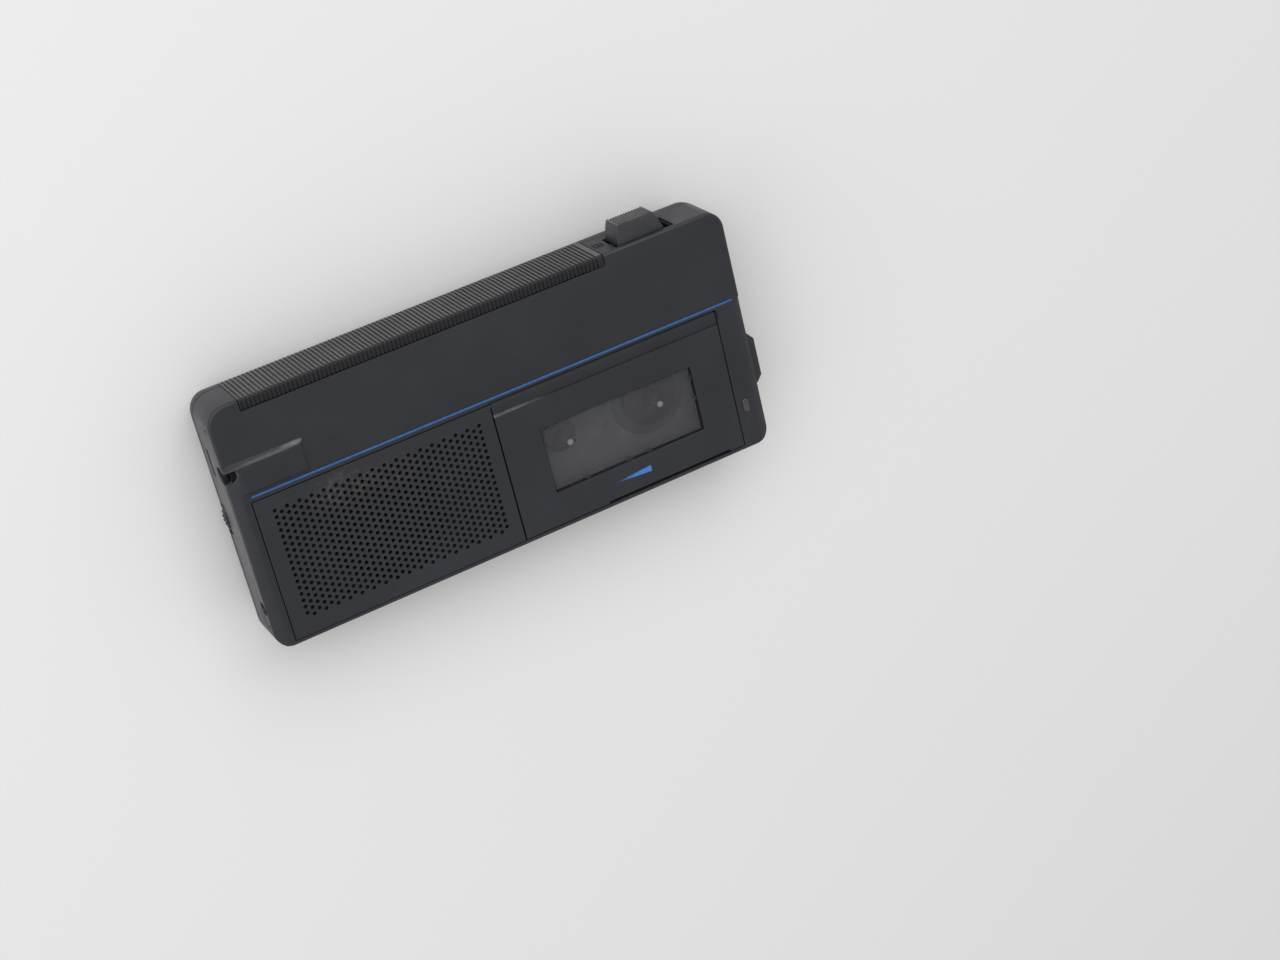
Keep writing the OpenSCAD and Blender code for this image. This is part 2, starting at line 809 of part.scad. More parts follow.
// Door with its round hinge edge, crease, window opening, nail gap and catch tab
module cassette_door() {
    color("#343538")
    difference() {
        union() {
            block(door_x0, door_x1, door_y0, hinge_y, door_back_z, body_t);
            bar_x(door_x0, door_x1, hinge_y, hinge_z, barrel_r);
            block(tab_x0, tab_x0 + tab_t, tab_y, tab_y + tab_l, door_back_z - tab_h, door_back_z + eps);
        }
        bar_x(door_x0 - over, door_x1 + over, hinge_y, hinge_z, hinge_pin_r + run_fit);
        block(door_x0 - over, door_x1 + over, crease_y - crease_w / 2, crease_y + crease_w / 2,
            body_t - crease_w, body_t + over);
        block(window_x - window_w / 2, window_x + window_w / 2,
            window_y - window_h / 2, window_y + window_h / 2, door_back_z - over, body_t + over);
        block(nail_x - nail_l / 2, nail_x + nail_l / 2, door_y0 - over, door_y0 + nail_d,
            door_back_z - over, body_t + over);
        bar_x(tab_x0 - over, tab_x0 + tab_t + over, tab_y + tab_l / 2, tab_hole_z, tab_hole_r);
    }
}

module door_window() {
    color("#6a6c70", 0.45)
        block(window_x - window_w / 2 - pane_lap, window_x + window_w / 2 + pane_lap,
            window_y - window_h / 2 - pane_lap, window_y + window_h / 2 + pane_lap, pane_back_z, door_back_z);
}

module door_hinge_pin() {
    color("silver")
        bar_x(pin_x0, pin_x1, hinge_y, hinge_z, hinge_pin_r);
}

// Leaf spring whose dimple holds the door's tab
module door_catch() {
    color("silver") {
        block(leaf_x, leaf_x + leaf_t, tab_y - leaf_margin, tab_y + tab_l + leaf_margin,
            door_back_z - tab_h - leaf_drop, in_front_z);
        bar_x(leaf_x - leaf_dimple, leaf_x + eps, tab_y + tab_l / 2, tab_hole_z, leaf_dimple_r);
    }
}

// Cover that wraps from the front over the ribbed side to the back, with grooves between its ribs
module battery_cover() {
    color("#3b3c40")
    difference() {
        cover_extrude(cover_x0, cover_x1)
            intersection() {
                difference() {
                    profile(body_h, 0);
                    profile(body_h - 2 * cover_t, cover_t);
                }
                cover_region(0);
            }
        for (i = [0:rib_count - 1])
            let (x = cover_x0 + rib_edge + i * rib_pitch)
            cover_extrude(x, x + rib_pitch / 2)
                difference() {
                    translate([0, -over])
                        square([top_y + over, body_t + 2 * over]);
                    profile(body_h - 2 * rib_d, rib_d);
                }
    }
}

// Trough for the cells, open towards the cover
module battery_tray() {
    foot_y = cell_y - tray_r + tray_foot_lap;
    color("#232326")
    intersection() {
        case_solid(wall + eps);
        union() {
            difference() {
                bar_x(cells_x0, tray_x1 + tray_end_t, cell_y, cell_z, tray_r);
                bar_x(cells_x0 - over, tray_x1, cell_y, cell_z, tray_r - tray_t);
                translate([cells_x0 - over, cell_y, cell_z])
                    rotate([90, 0, 90])
                        linear_extrude(tray_x1 - cells_x0 + over)
                            polygon([[0, 0], [body_t, body_t], [body_t, -body_t], [0, -body_t]]);
            }
            block(cells_x0 + tray_foot_in, tray_x1, foot_y - tray_foot_t, foot_y, 0, cell_z);
        }
    }
}

// One battery cell: can, shrink sleeve edge and contact button
module cell(x0) {
    can = cell_l - cell_button_h;
    bar_x(x0, x0 + can, cell_y, cell_z, cell_r);
    bar_x(x0 + can, x0 + cell_l, cell_y, cell_z, cell_button_r);
}

module cell_left() {
    color("#4f6f52")
        cell(cells_x0);
}

module cell_right() {
    color("#4f6f52")
        cell(cells_x0 + cell_l);
}

module contact_spring() {
    color("silver") {
        translate([0, cell_y, cell_z])
            coil(in_left_x + plate_t - spring_lap, cells_x0, spring_r0, spring_r1, spring_wire_r, spring_turns);
        block(in_left_x, in_left_x + plate_t, cell_y - spring_plate_half, cell_y + spring_plate_half,
            cell_z, cell_z + spring_plate_h);
    }
}

module contact_plate() {
    color("silver")
        block(cells_x1, tray_x1, cell_y - contact_half, cell_y + contact_half,
            cell_z - contact_half, cell_z + contact_half);
}

// Thumb slide: sloped ends, drawn-in sides and grip grooves
module slide_knob() {
    foot_y = top_y - recess_d + move_gap;
    head_y = top_y + knob_h;
    knob_x1 = knob_x0 + knob_l;
    front_slope = 1.6;
    front_step = 0.5;
    rear_slope = 1;
    rear_step = 0.9;
    first_groove = knob_x0 + 1.9;
    groove_y = head_y + 0.05;
    color("#1d1d1f") {
        difference() {
            intersection() {
                translate([0, 0, knob_z])
                    linear_extrude(knob_w, center = true)
                        polygon([[knob_x0, foot_y], [knob_x1, foot_y], [knob_x1, top_y + front_step],
                            [knob_x1 - front_slope, head_y], [knob_x0 + rear_slope, head_y],
                            [knob_x0, top_y + rear_step]]);
                rotate([90, 0, 90])
                    linear_extrude(2 * body_l, center = true)
                        polygon([[foot_y, knob_z - knob_w / 2], [head_y, knob_z - knob_w / 2 + knob_draft],
                            [head_y, knob_z + knob_w / 2 - knob_draft], [foot_y, knob_z + knob_w / 2]]);
            }
            for (i = [0:knob_grooves - 1])
                post(first_groove + knob_groove_pitch * i, groove_y, knob_groove_r,
                    knob_z - knob_w, knob_z + knob_w);
        }
        block(stem_x0, stem_x0 + stem_l, stem_y0, foot_y + eps, knob_z - stem_w / 2, knob_z + stem_w / 2);
    }
}

// Slide carrier with the slanted slot that shifts the head plate
module slide_carrier() {
    ends = [for (s = [-knob_back - slot_spare, knob_travel + slot_spare])
        [head_pin_x - s, head_pin_y - s * head_ratio]];
    color("#c9c2a8") {
        translate([0, 0, carrier_z])
            linear_extrude(carrier_t)
                difference() {
                    translate([carrier_x0, carrier_y0])
                        square([carrier_w, stem_y0 - carrier_y0]);
                    slot_2d(ends[0], ends[1], pin_slot_r);
                }
        block(carrier_x0, stem_x0 + stem_l, stem_y0 - carrier_foot_t, stem_y0, carrier_z, knob_z + stem_w / 2);
    }
}

module switch_board() {
    color("#3f5a34")
        block(switch_x0 - switch_board_l, switch_x0, switch_board_y0, switch_board_y1,
            switch_board_z, switch_board_z + board_t);
}

// End button: trapezoid cap, guide flange and stem
module end_button() {
    half = button_l / 2;
    color("#1d1d1f")
    translate([0, button_y, button_z]) {
        linear_extrude(button_w, center = true)
            polygon([[button_x0, -half], [right_x + button_straight, -half],
                [right_x + button_h, -half + button_slope], [right_x + button_h, half - button_slope],
                [right_x + button_straight, half], [button_x0, half]]);
        translate([button_x0, -half - button_flange, -button_w / 2 - button_lip])
            cube([button_flange_t, button_l + 2 * button_flange, button_w + 2 * button_lip]);
        bar_x(switch_x1 + move_gap, button_x0 + eps, 0, 0, button_stem_r);
    }
}

module button_spring() {
    color("silver")
        translate([0, button_y, button_z])
            coil(switch_x1, button_x0, button_coil_r, button_coil_r, button_wire_r, button_turns);
}

module record_switch() {
    color("#2b2b2b")
    difference() {
        block(switch_x0, switch_x1, button_y - switch_half, button_y + switch_half,
            button_z - switch_half, button_z + switch_half);
        bar_x(switch_x1 - button_travel - switch_spare, switch_x1 + over, button_y, button_z,
            button_stem_r + move_gap);
    }
}

// Volume wheel with a notched rim
module volume_wheel() {
    color("#202022")
    difference() {
        post(wheel_x, wheel_y, wheel_r, wheel_z, wheel_z + wheel_t);
        post(wheel_x, wheel_y, wheel_shaft_r + run_fit, wheel_z - over, wheel_z + wheel_t + over);
        for (i = [0:wheel_notches - 1])
            let (a = 360 * i / wheel_notches, r = wheel_r + notch_out)
            post(wheel_x + r * cos(a), wheel_y + r * sin(a), notch_r, wheel_z - over, wheel_z + wheel_t + over);
    }
}

module volume_control() {
    color("#5b4a2e") {
        post(wheel_x, wheel_y, pot_r, board_z + board_t, wheel_z - move_gap);
        post(wheel_x, wheel_y, wheel_shaft_r, wheel_z - move_gap - eps, wheel_z + wheel_t + pot_shaft_out);
    }
}

module indicator_lens() {
    color("#a9a4b0") {
        lamp_slot(in_front_z, body_t, lamp_w / 2);
        lamp_slot(in_front_z - lamp_foot_t, in_front_z, lamp_w / 2 + lamp_foot_w);
    }
}

module earphone_socket() {
    color("#26262a")
    difference() {
        bar_x(in_left_x, in_left_x + jack_len, jack_y, jack_z, jack_body_r);
        bar_x(in_left_x - over, in_left_x + jack_bore_len, jack_y, jack_z, jack_bore_r);
    }
}

module charge_socket() {
    color("#26262a")
    difference() {
        bar_x(in_left_x, in_left_x + charge_len, charge_y, charge_z, charge_body_r);
        bar_x(in_left_x - over, in_left_x + charge_len - charge_end_t, charge_y, charge_z, charge_bore_r);
    }
}

module microphone() {
    color("silver")
        bar_x(in_right_x - mic_len, in_right_x, mic_y, mic_z, mic_r);
}

module mic_grommet() {
    color("#1a1a1a")
    difference() {
        bar_x(in_right_x - mic_len - grommet_back, in_right_x, mic_y, mic_z, mic_r + grommet_t);
        bar_x(in_right_x - mic_len, in_right_x + over, mic_y, mic_z, mic_r);
        bar_x(in_right_x - mic_len - over, in_right_x, mic_y, mic_z, mic_r - grommet_lap);
    }
}

// Pressed basket of the loudspeaker, as a revolved wall
module speaker_basket() {
    rim_z = seat_z - speaker_flange_t;
    foot_z = speaker_back_z + magnet_t;
    in_r = speaker_r - speaker_rim;
    pole_r = 3;
    sheet_t = 0.8;
    lip = 0.5;
    bend = 1;
    color("#6d6f73")
    translate([speaker_x, speaker_y, 0])
        rotate_extrude()
            polygon([[pole_r, foot_z], [magnet_r, foot_z], [magnet_r + bend, foot_z + sheet_t / 2],
                [speaker_r - bend, rim_z], [speaker_r, rim_z], [speaker_r, seat_z], [in_r, seat_z],
                [in_r, seat_z - lip], [magnet_r, foot_z + sheet_t], [pole_r, foot_z + sheet_t]]);
}

// Paper cone with a domed cap
module speaker_cone() {
    rim_r = speaker_r - speaker_rim - move_gap;
    rim_z = seat_z - speaker_flange_t / 2;
    deep_z = speaker_back_z + magnet_t + 1.4;
    roll_w = 2;
    roll_h = 0.15;
    rim_t = 0.2;
    paper_t = 0.5;
    neck_r = 4;
    cap_r = 2.4;
    cap_h = 1.1;
    cap_step = 0.3;
    cap_t = 0.7;
    color("#2a2926")
    translate([speaker_x, speaker_y, 0])
        rotate_extrude()
            polygon([[0, deep_z + cap_h], [cap_r, deep_z + cap_h - cap_step], [neck_r, deep_z],
                [rim_r - roll_w, rim_z - paper_t], [rim_r, rim_z - rim_t], [rim_r, rim_z],
                [rim_r - roll_w / 2, rim_z + roll_h], [rim_r - roll_w, rim_z],
                [neck_r + rim_t, deep_z + paper_t], [cap_r + rim_t, deep_z + cap_h + cap_step],
                [0, deep_z + cap_h + cap_t]]);
}

module speaker_magnet() {
    color("#8a8c90")
        post(speaker_x, speaker_y, magnet_r, speaker_back_z, speaker_back_z + magnet_t);
}

// Main board, notched round the screw towers
module main_board() {
    color("#3f5a34")
    difference() {
        block(board_x0, board_x1, board_y0, board_y1, board_z, board_z + board_t);
        for (p = screw_at)
            post(p[0], p[1], tower_r + move_gap, board_z - over, board_z + board_t + over);
    }
}

// Chips and capacitors on the main board
module board_parts() {
    top = board_z + board_t;
    color("#1c1c1e")
    for (i = [0:2])
        let (x = chip_x + chip_pitch * i) {
            for (y = chip_y)
                block(x, x + chip_w, y, y + chip_l, top, top + chip_t);
            post(x + chip_w / 2, can_y, can_r, top, top + can_h);
        }
}

// Deck floor with the walls of the cassette well and the head plate's guide pins
module deck_tray() {
    floor_z = deck_z - deck_t;
    color("#5d5f63")
    difference() {
        union() {
            block(deck_x0, deck_x1, deck_y0, deck_y1, floor_z, deck_z);
            block(well_x0 - well_wall, well_x0, deck_y0, well_y1, deck_z - eps, well_top_z);
            block(well_x1, deck_x1, deck_y0, well_y1, deck_z - eps, well_right_z);
            block(well_x0 - well_wall, well_back_x1, well_y1, well_y1 + well_back_t, deck_z - eps, well_back_z);
            for (side = [-1, 1])
                post(head_x + side * guide_dx, guide_y, guide_r, deck_z - eps, deck_z + guide_h);
        }
        for (x = [supply_x, takeup_x])
            post(x, spindle_y, spindle_r + run_fit, floor_z - over, deck_z + over);
        post(motor_x, motor_y, motor_nose_r, floor_z - over, deck_z + over);
        post(drive_x, drive_y, axle_r, floor_z - over, deck_z + over);
        for (p = deck_screw_at)
            post(p[0], p[1], deck_screw_r + screw_gap, floor_z - over, deck_z + over);
    }
}

// Spindle: shaft, turntable, splined post and pointed tip
module spindle(x, table_r) {
    post_r = 1.7;
    fin_r = 2.6;
    fin_t = 0.8;
    fin_top = spindle_tip_z - 2;
    tip_r = 0.7;
    tip_h = 1.4;
    shaft_out = 0.4;
    post(x, spindle_y, spindle_r, gear_z - shaft_out, table_z + eps);
    post(x, spindle_y, table_r, table_z, table_z + table_t);
    post(x, spindle_y, post_r, table_z + table_t - eps, spindle_tip_z - tip_h);
    translate([x, spindle_y, spindle_tip_z - tip_h - eps])
        cylinder(r1 = post_r, r2 = tip_r, h = tip_h);
    for (a = [90, 210, 330])
        translate([x, spindle_y, table_z + table_t - eps])
            rotate(a)
                translate([0, -fin_t / 2, 0])
                    cube([fin_r, fin_t, fin_top - table_z - table_t]);
}

module supply_spindle() {
    clip_z = deck_z - deck_t - move_gap;
    color("#3c3d40") {
        spindle(supply_x, supply_table_r);
        post(supply_x, spindle_y, spindle_clip_r, clip_z - spindle_clip_t, clip_z);
    }
}

module takeup_spindle() {
    color("#3c3d40") {
        spindle(takeup_x, takeup_table_r);
        translate([takeup_x, spindle_y, gear_z])
            rotate(mesh_angle)
                linear_extrude(gear_t)
                    gear_2d(takeup_teeth);
    }
}

// Belt pulley turned about the vertical axis, with two flanges
module belt_pulley(r, bore) {
    rim = r + flange_h;
    rotate_extrude()
        polygon([[bore, pulley_z], [rim, pulley_z], [rim, pulley_z + flange_t], [r, pulley_z + flange_t],
            [r, pulley_z + flange_t + groove_w], [rim, pulley_z + flange_t + groove_w],
            [rim, pulley_z + 2 * flange_t + groove_w], [bore, pulley_z + 2 * flange_t + groove_w]]);
}

module drive_pulley() {
    hub_z = pulley_z + 2 * flange_t + groove_w;
    color("#d8d4c4")
    translate([drive_x, drive_y, 0]) {
        belt_pulley(drive_r, axle_r + run_fit);
        translate([0, 0, hub_z - eps])
            linear_extrude(gear_z + gear_t - hub_z)
                difference() {
                    rotate(mesh_angle + 180 / pinion_teeth * (pinion_teeth % 2 == 0 ? 1 : 2))
                        gear_2d(pinion_teeth);
                    circle(axle_r + run_fit);
                }
    }
}

module pulley_axle() {
    color("silver") {
        post(drive_x, drive_y, axle_r, axle_foot_z, deck_z);
        post(drive_x, drive_y, axle_foot_r, axle_foot_z, pulley_z - move_gap);
    }
}

// Flat belt round both pulleys
module drive_belt() {
    color("#161616")
    translate([0, 0, pulley_z + flange_t + (groove_w - belt_w) / 2])
        linear_extrude(belt_w)
            difference() {
                belt_loop(belt_gap + belt_t);
                belt_loop(belt_gap);
            }
}

module belt_loop(grow) {
    hull() {
        translate([motor_x, motor_y])
            circle(motor_pulley_r + grow, $fn = 32);
        translate([drive_x, drive_y])
            circle(drive_r + grow, $fn = 64);
    }
}

module motor() {
    color("#9a9c9f")
    difference() {
        post(motor_x, motor_y, motor_r, deck_z, deck_z + motor_len);
        post(motor_x, motor_y, axle_r + run_fit, deck_z - over, deck_z + motor_hole_d);
    }
}

module motor_pulley() {
    color("#c8a860")
    translate([motor_x, motor_y, 0]) {
        belt_pulley(motor_pulley_r, 0);
        post(0, 0, axle_r, pulley_z, deck_z + motor_shaft_in);
    }
}

// Sliding plate that carries the heads, with guide slots and a drive pin
module head_plate() {
    color("silver") {
        translate([0, 0, head_plate_z])
            linear_extrude(head_plate_t)
                difference() {
                    union() {
                        translate([head_x - head_plate_half, head_plate_y0])
                            square([2 * head_plate_half, head_plate_h]);
                        translate([head_x, head_pin_y - arm_half])
                            square([head_pin_x + arm_half - head_x, 2 * arm_half]);
                    }
                    for (side = [-1, 1])
                        let (x = head_x + side * guide_dx)
                        slot_2d([x, guide_y - knob_back * head_ratio], [x, guide_y + knob_travel * head_ratio],
                            guide_r + guide_gap);
                }
        post(head_pin_x, head_pin_y, head_pin_r, head_plate_z + head_plate_t - eps,
            carrier_z + carrier_t + head_pin_out);
    }
}

// Tape head with a rounded face towards the tape
module head_block(x, w, h) {
    base = head_plate_z + head_plate_t;
    face_y = head_plate_y0 - head_face;
    crown_r = head_crown * w;
    intersection() {
        block(x - w / 2, x + w / 2, face_y, face_y + head_d, base, base + h);
        post(x, face_y + crown_r, crown_r, base, base + h);
    }
}

module record_head() {
    color("#b9bbbe")
        head_block(head_x, head_w, head_h);
}

module erase_head() {
    color("#2e2e30")
        head_block(head_x - erase_dx, erase_w, head_h);
}

// Countersunk into the back: four screws with crossed drives
module case_screws() {
    color("#8b8d90")
    for (p = screw_at)
        difference() {
            union() {
                post(p[0], p[1], screw_head_r, screw_head_z - screw_head_t, screw_head_z);
                post(p[0], p[1], screw_r, screw_head_z - eps, screw_head_z + screw_len);
            }
            for (a = [0, 90])
                translate([p[0], p[1], screw_head_z - screw_head_t])
                    rotate(a)
                        cube([drive_slot_l, drive_slot_w, 2 * drive_slot_d], center = true);
        }
}

module deck_screws() {
    color("#8b8d90")
    for (p = deck_screw_at) {
        post(p[0], p[1], deck_screw_r, deck_z - deck_screw_l, deck_z + eps);
        post(p[0], p[1], 2 * deck_screw_r, deck_z, deck_z + deck_screw_head_t);
    }
}

front_case();
rear_case();
accent_strip();
speaker_grille();
cassette_door();
door_window();
door_hinge_pin();
door_catch();
battery_cover();
battery_tray();
cell_left();
cell_right();
contact_spring();
contact_plate();
slide_knob();
slide_carrier();
switch_board();
end_button();
button_spring();
record_switch();
volume_wheel();
volume_control();
indicator_lens();
earphone_socket();
charge_socket();
microphone();
mic_grommet();
speaker_basket();
speaker_cone();
speaker_magnet();
main_board();
board_parts();
deck_tray();
supply_spindle();
takeup_spindle();
drive_pulley();
pulley_axle();
drive_belt();
motor();
motor_pulley();
head_plate();
record_head();
erase_head();
case_screws();
deck_screws();
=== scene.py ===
import json
import math

import bmesh
import bpy
from mathutils import Matrix, Vector


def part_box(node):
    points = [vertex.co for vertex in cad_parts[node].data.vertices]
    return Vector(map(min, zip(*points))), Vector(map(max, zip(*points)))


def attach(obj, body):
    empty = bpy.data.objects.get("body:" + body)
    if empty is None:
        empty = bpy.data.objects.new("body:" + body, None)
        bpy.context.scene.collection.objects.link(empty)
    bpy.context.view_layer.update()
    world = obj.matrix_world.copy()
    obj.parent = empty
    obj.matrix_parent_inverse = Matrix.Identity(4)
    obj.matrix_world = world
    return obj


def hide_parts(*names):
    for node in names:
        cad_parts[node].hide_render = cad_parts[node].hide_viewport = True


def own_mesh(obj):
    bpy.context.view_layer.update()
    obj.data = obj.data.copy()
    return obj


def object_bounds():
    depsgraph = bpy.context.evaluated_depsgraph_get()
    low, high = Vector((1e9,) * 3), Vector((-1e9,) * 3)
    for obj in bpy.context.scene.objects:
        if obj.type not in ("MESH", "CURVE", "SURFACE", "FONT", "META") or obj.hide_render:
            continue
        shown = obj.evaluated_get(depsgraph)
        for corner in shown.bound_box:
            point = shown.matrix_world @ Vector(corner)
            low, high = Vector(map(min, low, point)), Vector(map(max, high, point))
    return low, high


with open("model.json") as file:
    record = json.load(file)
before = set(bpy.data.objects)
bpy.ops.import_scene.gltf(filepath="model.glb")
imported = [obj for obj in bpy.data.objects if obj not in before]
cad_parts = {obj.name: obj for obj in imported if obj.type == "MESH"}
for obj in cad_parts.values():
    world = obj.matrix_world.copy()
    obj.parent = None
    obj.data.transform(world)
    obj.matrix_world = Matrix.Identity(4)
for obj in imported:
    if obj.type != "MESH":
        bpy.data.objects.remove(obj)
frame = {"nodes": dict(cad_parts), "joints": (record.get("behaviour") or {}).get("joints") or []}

CAD_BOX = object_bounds()

bl_info = {
    "name": "Pocket recorder finishes",
    "version": (1, 0, 0),
    "blender": (4, 5, 0),
    "location": "3D View > Sidebar > Recorder",
    "description": "Dresses a packed pocket dictation machine with finishes, small trim and a studio",
    "category": "Object",
}

MM = 0.001
NODES = frame["nodes"]
SHARP_ANGLE = math.radians(32)
FLAT_ANGLE = math.radians(0.4)
WELD_DISTANCE = 0.000002
MERGE_DISTANCE = 0.0000005

# Marks of use, painted highlights, painted light and painted shadows: middle, reach along each axis, and how
# strongly each one shows
GRILLE_DUST = (
    ((-0.0415, 0.0015, 0.022), (0.010, 0.006, 0.006), 0.42),
    ((-0.0300, 0.0005, 0.022), (0.012, 0.005, 0.006), 0.20),
)
COVER_STAINS = (
    ((-0.0335, 0.031, 0.0150), (0.0040, 0.004, 0.0046), 0.60),
    ((-0.0520, 0.031, 0.0185), (0.0090, 0.004, 0.0040), 0.22),
)
# Pad: a worn bevel edge, lightened further as a painted highlight
PAD_WEAR_AND_HIGHLIGHT = (
    ((-0.0492, 0.0167, 0.0226), (0.0042, 0.0007, 0.0009), 0.75),
    ((-0.0560, 0.0164, 0.0229), (0.0100, 0.0005, 0.0007), 0.35),
)
# Door: a worn edge along the crease, lightened as a painted highlight towards its left end
DOOR_WEAR_AND_HIGHLIGHT = (((-0.0010, 0.0034, 0.0220), (0.0160, 0.0005, 0.0008), 0.95),)
# Painted shadows: the gap at the door's upper right corner and the fin round the earphone socket's mouth
CASE_PAINTED_SHADOWS = (
    ((0.0594, 0.0058, 0.0220), (0.0008, 0.0017, 0.0012), 1.0),
    ((-0.0658, 0.0145, 0.0206), (0.0036, 0.0032, 0.0034), 1.0),
)
# Painted light: lightens the left end face, as if more light fell on it
END_PAINTED_LIGHT = (((-0.0667, 0.0040, 0.0165), (0.0009, 0.0340, 0.0085), 0.42),)
# Painted light: lightens the top of the slide
KNOB_TOP_LIGHT = (((0.0455, 0.0356, 0.0168), (0.0085, 0.00024, 0.0060), 0.60),)

# Grip grooves of the slide: how many, the first one from the slide's end, their pitch, and the painted shade
# in each
GROOVE_COUNT = 12
GROOVE_START = 0.0019
GROOVE_PITCH = 0.00072
GROOVE_SHADE_REACH = (0.00030, 0.00045, 0.0200)
GROOVE_SHADE_SHARE = 0.45

# Clips of the pane: middle along the edge, and half width
PANE_CLIPS_BELOW = ((0.0175, 0.0007), (0.0290, 0.0010), (0.0345, 0.0007))
PANE_CLIPS_RIGHT = ((-0.0074, 0.0008), (-0.0128, 0.0006))
CLIP_TAPER = 0.7
CLIP_EDGE = 0.12 * MM

# Springs: radius at the start and at the end, radius of the wire, and turns
CELL_SPRING = (3.6 * MM, 2.0 * MM, 0.35 * MM, 4)
RETURN_SPRING = (2.1 * MM, 2.1 * MM, 0.2 * MM, 3)
SPRING_PLATE = Vector((0.4, 8.4, 4.5)) * MM

# Outline of a spindle's tip: share of its radius, and height over the spindle
TIP_OUTLINE = (
    (0.0, -0.30 * MM), (0.9, -0.30 * MM), (0.9, 0.06 * MM), (1.0, 0.10 * MM),
    (1.0, 0.20 * MM), (0.8, 0.38 * MM), (0.45, 0.48 * MM), (0.0, 0.52 * MM),
)
PLATE_HOLE = 2.0 * MM

# Radius of the ball round the earphone socket's mouth whose edges stay crisp
CRISP_RADIUS = 4.5 * MM
# Softened edges of small pieces
FINE_EDGE = 0.08 * MM
# How far thin trim sinks into what carries it
SUNK = 0.02 * MM
# Rotation of the camera about each axis
CAMERA_TURN = tuple(math.radians(angle) for angle in (-19.635, -26.615, -14.160))


def centre_of(node):
    """Middle of a CAD node's box, in metres."""
    low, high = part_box(node)
    return (low + high) / 2


def joint_of(name):
    """One joint of the frame."""
    return next(j for j in frame["joints"] if j["name"] == name)


def values_of(context):
    """The recorder's values: mouldings, trim and works."""
    scene = context.scene
    return scene.recorder_mouldings, scene.recorder_trim, scene.recorder_mechanism


def prop_kind(kind, **settings):
    """Maker of one kind of property, which takes a name, a description and a default."""
    def make(name, description, default, **more):
        return kind(name=name, description=description, default=default, **{**settings, **more})
    return make


def colour_prop(name, what, default):
    return bpy.props.FloatVectorProperty(
        name=name, description=f"Colour of {what}", subtype="COLOR", size=3, min=0.0, max=1.0, default=default
    )


length_prop = prop_kind(bpy.props.FloatProperty, subtype="DISTANCE", unit="LENGTH", min=0.0, precision=5)
place_prop = prop_kind(bpy.props.FloatVectorProperty, subtype="TRANSLATION", unit="LENGTH", size=3,
                       precision=5)
turn_prop = prop_kind(bpy.props.FloatVectorProperty, subtype="EULER", unit="ROTATION", size=3)
share_prop = prop_kind(bpy.props.FloatProperty, subtype="FACTOR", min=0.0, max=1.0)
power_prop = prop_kind(bpy.props.FloatProperty, subtype="POWER", unit="POWER", min=0.0)
focus_prop = prop_kind(bpy.props.FloatProperty, min=10.0)
count_prop = prop_kind(bpy.props.IntProperty, min=6, max=96)


class RecorderMouldings(bpy.types.PropertyGroup):
    """Plastics of the case, the door and the controls"""

    case_colour: colour_prop("Case", "both case halves", (0.0158, 0.0170, 0.0226))
    door_colour: colour_prop("Door", "the door and the perforated panel", (0.0164, 0.0176, 0.0236))
    # Lighter than the case as painted light, so that the ribbed side reads as lit
    cover_lit_colour: colour_prop("Cover", "the ribbed battery cover", (0.0760, 0.0766, 0.0800))
    control_colour: colour_prop("Controls", "slide, button and wheel", (0.0215, 0.0222, 0.0256))
    inner_colour: colour_prop("Inner parts", "mouldings inside the case", (0.0120, 0.0120, 0.0130))
    # Light colour of rubbed edges, also used for painted highlights and painted light
    wear_and_highlight_colour: colour_prop("Wear", "rubbed edges", (0.150, 0.151, 0.155))
    dust_colour: colour_prop("Dust", "dust in the grille and the ribs", (0.120, 0.106, 0.086))
    # Near-black for painted shade in gaps, creases and the slide's track, and for the sign's ink and the
    # sockets
    shade_and_black_colour: colour_prop("Gap", "a deep gap", (0.004, 0.004, 0.0045))
    case_roughness: share_prop("Roughness", "Roughness of the case mouldings", 0.46)
    grain_size: length_prop("Grain", "Size of the grain in the moulded surface", 0.00022)
    grain_depth: length_prop("Grain depth", "Depth of the grain in the moulded surface", 0.000012)
    edge_radius: length_prop("Edge", "Width of the softened edges of the mouldings", 0.00016)
    wear_reach: length_prop("Wear reach", "How far rubbed edges reach onto a face", 0.00035)
    # Reach of the painted shade that darkens creases and grooves
    crease_shade_reach: length_prop("Grime reach", "Width of the grooves that hold grime", 0.0007)


